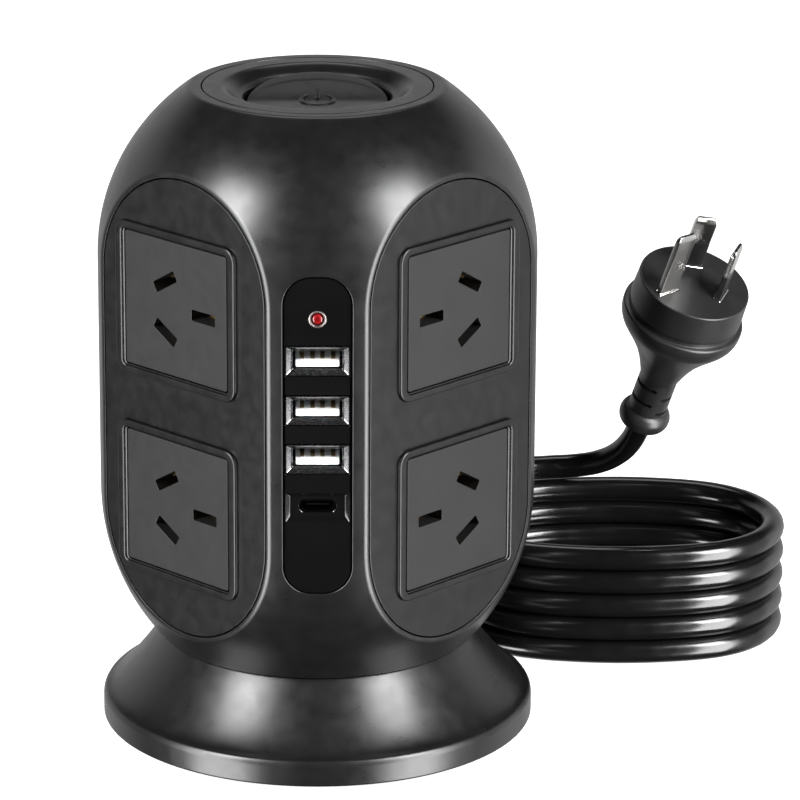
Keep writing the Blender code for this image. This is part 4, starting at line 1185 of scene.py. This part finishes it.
def mains_cord(gland_piece, plug_pieces):
    lead = [Vector(p) * MM for p in LEAD_ROUTE]
    tail = [Vector(p) * MM for p in TAIL_ROUTE]
    path = lead + coil_turns() + tail
    curve = bpy.data.curves.new("mains_cord", "CURVE")
    curve.dimensions = "3D"
    curve.bevel_depth = CORD_D / 2
    curve.bevel_resolution = 7
    curve.resolution_u = 6
    curve.use_fill_caps = True
    spline = curve.splines.new("BEZIER")
    spline.bezier_points.add(len(path) - 1)
    for point, place in zip(spline.bezier_points, path):
        point.co = place
        point.handle_left_type = point.handle_right_type = "AUTO"
    cord = add_object("mains_cord", curve)
    finish_piece(cord, "cord_black", ("cord_lead", "cord_coil", "cord_tail"))


def plug_matrix():
    turn = PLUG_AXIS.to_track_quat("Z", "Y").to_matrix().to_4x4()
    return Matrix.Translation(PLUG_AT) @ turn @ turn_by(PLUG_TURN, "Z")


def plug_body():
    """Round moulded plug: collar, slotted strain relief, cone, flange and head."""
    collar = [(3.6, -3.2), (5.6, -2.8), (7.2, -1.2), (7.4, 1.2), (6.6, 2.8), (5.6, 3.4)]
    neck = [(5.5, 4.2), (5.5, 15.0)]
    cone = [(5.9, 16.4), (6.6, 18.4), (7.7, 21.2), (9.5, 24.8), (12.2, 28.8)]
    flange = [
        (14.4, 31.6), (16.6, 34.6), (17.3, 36.8), (17.3, 39.2), (15.9, 39.6), (15.75, 40.7), (16.1, 41.3),
        (15.8, 50.0), (0, 50.0),
    ]
    profile = [(0, -3.2), *soften(collar, [0.8, 1.6, 1.8, 1.2], 5), *neck, *cone]
    profile += soften(flange, [1.6, 1.2, 0.5, 0.15, 0.15, 0.3, 0.45], 5)
    body = solid("plug_moulding", lathe(in_mm(profile), 112))
    carve(body, *[relief_slot(height, side) for height, side in ((4.9, 1), (7.6, -1), (10.3, 1), (13.0, -1))])
    seat = [(7.3, 2.6, PLUG_LENGTH - 0.35 * MM), (7.7, 3.0, PLUG_LENGTH + 0.1 * MM)]
    seat = [level(rounded_rectangle(w * MM, h * MM, 0.2 * MM, 2), z) for w, h, z in seat]
    for x, y, angle, _ in pin_places():
        carve(body, solid("pin_seat", Skin().capped(seat), move_by(x, y, 0) @ turn_by(angle, "Z")))
    body.data.transform(plug_matrix())
    return finish_piece(body, "plug_black", "plug_body", slot="cord_black", angle=30)


def relief_slot(height, side):
    """A cutter for a slot in one side of the plug's strain relief, at a height in mm."""
    x0, x1 = sorted((side * 0.9 * MM, side * 8 * MM))
    outline = rounded_rectangle(x1 - x0, 1.15 * MM, 0.5 * MM, 3, ((x0 + x1) / 2, height * MM))
    rings = [[(x, y, z) for x, z in outline] for y in (-8 * MM, 8 * MM)]
    return solid("relief_slot", Skin().capped(rings), turn_by(PLUG_SLOT_TURN, "Z"))


def pin_places():
    """Place, turn and length of the plug's three pins."""
    return [(*slot, LIVE_PIN_L) for slot in live_slots()] + [(EARTH_OFFSET, 0, 0, EARTH_PIN_L)]


def blade(sections):
    """A flat pin from (width, thickness, height) sections in mm."""
    rows = in_mm((width, thick, min(0.25, 0.3 * thick), height) for width, thick, height in sections)
    return Skin().capped([level(rounded_rectangle(w, t, r, 2), z) for w, t, r, z in rows])


def plug_pins():
    """Three blades with tapered tips and a bright seat; the live pair is sleeved for half its length."""
    pieces = []
    for name, (x, y, angle, length) in zip(("active", "neutral", "earth"), pin_places()):
        start, end = PLUG_LENGTH / MM, (PLUG_LENGTH + length) / MM
        sleeve_end = start + 8.2
        place = plug_matrix() @ move_by(x, y, 0) @ turn_by(angle, "Z")
        foot = [(7.2, 2.5, start - 0.34), (7.2, 2.5, start + 0.04), (7.0, 2.3, start + 0.14)]
        foot.append((6.5, 1.75, start + 0.1))
        body = [(5.6, 1.1, start + 0.2), (5.6, 1.1, sleeve_end - 0.2), (6.3, 1.6, sleeve_end + 0.1)]
        if name == "earth":
            body = [(6.35, 1.6, start + 0.2)]
        tip = [(6.35, 1.6, end - 2.0), (6.1, 1.5, end - 1.2), (5.2, 0.9, end - 0.1), (5.0, 0.7, end)]
        pin = solid(f"pin_{name}", blade(foot + body + tip), place)
        pieces.append(finish_piece(pin, "nickel", f"plug_pin_{name}"))
        if name != "earth":
            sleeve = [(6.35, 1.66, start + 0.05), (6.35, 1.66, sleeve_end - 0.2), (6.2, 1.5, sleeve_end)]
            cover = solid(f"sleeve_{name}", blade(sleeve), place)
            pieces.append(finish_piece(cover, "plug_black", slot="cord_black"))
    return pieces


# --- Carried-over pieces, studio and camera ----------------------------------------------------------


def paint_cad_nodes():
    """The inner parts keep their CAD shape and get a full material."""
    named = {
        "strip": "brass", "contact_carrier": "inner_plastic", "charger_transformer": "inner_plastic",
        "switch_body": "inner_plastic", "breaker_body": "inner_plastic", "base_screw": "screw_steel",
        "charger_board": "circuit_green",
    }
    for name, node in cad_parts.items():
        if node.hide_render:
            continue
        paint = next(paint for part, paint in named.items() if part in name)
        node.data.materials.clear()
        node.data.materials.append(PAINTS[paint].material)


def studio_floor():
    mesh = bpy.data.meshes.new("floor")
    corners = [(x * FLOOR_REACH, y * FLOOR_REACH, 0) for x, y in ((-1, -1), (1, -1), (1, 1), (-1, 1))]
    mesh.from_pydata(corners, [], [(0, 1, 2, 3)])
    floor = add_object("floor", mesh)
    mesh.materials.append(pale_floor().material)
    floor.visible_glossy = False
    floor.visible_shadow = False
    floor.visible_diffuse = False


def softbox(name, place, width, height, power, roll=0):
    """A rectangular light aimed at the middle of the tower."""
    light = bpy.data.lights.new(name, "AREA")
    light.shape = "RECTANGLE"
    light.size, light.size_y = width, height
    light.energy = power
    lamp = add_object(name, light)
    lamp.location = place
    lamp.rotation_mode = "QUATERNION"
    towards = Vector((0, 0, 100 * MM)) - Vector(place)
    lamp.rotation_quaternion = Quaternion(towards, math.radians(roll)) @ towards.to_track_quat("-Z", "Y")


def studio_world():
    """Dark overhead and in front, with a pale backdrop low down behind and to the right.

    The world's brightness depends on the direction, by ramps over X, Y and Z.
    """
    world = bpy.data.worlds.new("studio")
    bpy.context.scene.world = world
    world.use_nodes = True
    nodes, links = world.node_tree.nodes, world.node_tree.links
    direction = nodes.new("ShaderNodeTexCoord")
    split = nodes.new("ShaderNodeSeparateXYZ")
    links.new(direction.outputs["Generated"], split.inputs[0])

    def ramp(axis, stops):
        """Brightness along one axis, as (position, value) stops from 0 to 1."""
        ramp = nodes.new("ShaderNodeValToRGB")
        ramp.color_ramp.interpolation = "EASE"
        elements = ramp.color_ramp.elements
        while len(elements) < len(stops):
            elements.new(0.5)
        for element, (position, value) in zip(elements, stops):
            element.position = position
            element.color = (value, value, value, 1)
        links.new(split.outputs[axis], ramp.inputs["Fac"])
        return ramp.outputs["Color"]

    def join(a, b, how):
        mix = nodes.new("ShaderNodeMixRGB")
        mix.blend_type = how
        mix.inputs["Fac"].default_value = 1
        links.new(a, mix.inputs["Color1"])
        links.new(b, mix.inputs["Color2"])
        return mix.outputs["Color"]

    low = ramp("Z", [(0.0, 1.0), (0.3, 0.9), (0.55, 0.0)])
    behind = ramp("Y", [(0.0, 0.0), (0.2, 0.1), (0.5, 0.55), (0.75, 0.6), (0.95, 0.55)])
    right = ramp("X", [(0.0, 0.02), (0.55, 0.02), (0.9, 0.6)])
    links.new(join(join(behind, right, "ADD"), low, "MULTIPLY"), nodes["Background"].inputs["Color"])


def studio_lights():
    softbox("left strip", (-0.72, -0.52, 0.02), 0.48, 1.2, 25, -6)
    softbox("right strip", (0.72, -0.52, 0.02), 0.48, 1.2, 25, 6)
    softbox("rear fill", (0, 0.75, 1.35), 0.8, 0.5, 3)
    softbox("left dome light", (-0.72, -0.52, 0.72), 0.42, 0.42, 14)
    softbox("right dome light", (0.72, -0.52, 0.72), 0.42, 0.42, 14)
    bpy.context.scene.view_settings.view_transform = "Standard"


def studio_camera():
    data = bpy.data.cameras.new("camera")
    data.sensor_width = 36
    data.lens = CAMERA_LENS
    data.shift_x = CAMERA_SHIFT
    data.clip_start = 0.05
    camera = add_object("camera", data)
    camera.location = CAMERA_AT
    camera.rotation_euler = (math.pi / 2 - CAMERA_TILT, 0, 0)
    bpy.context.scene.camera = camera


studio_camera()
studio_floor()
studio_world()
studio_lights()
tower_shell()
for face_name in FACE_ANGLES:
    face_plate(face_name)
    for level_name in SOCKET_Z:
        socket_insert(face_name, level_name)
usb_panel()
for port_number, port_z in enumerate(USB_A_Z, 1):
    usb_a_port(port_number, port_z)
usb_c_port()
led()
top_cap()
power_rocker()
reset_button()
base_shell()
base_cover()
mains_cord(gland(), [plug_body(), *plug_pins()])
paint_cad_nodes()
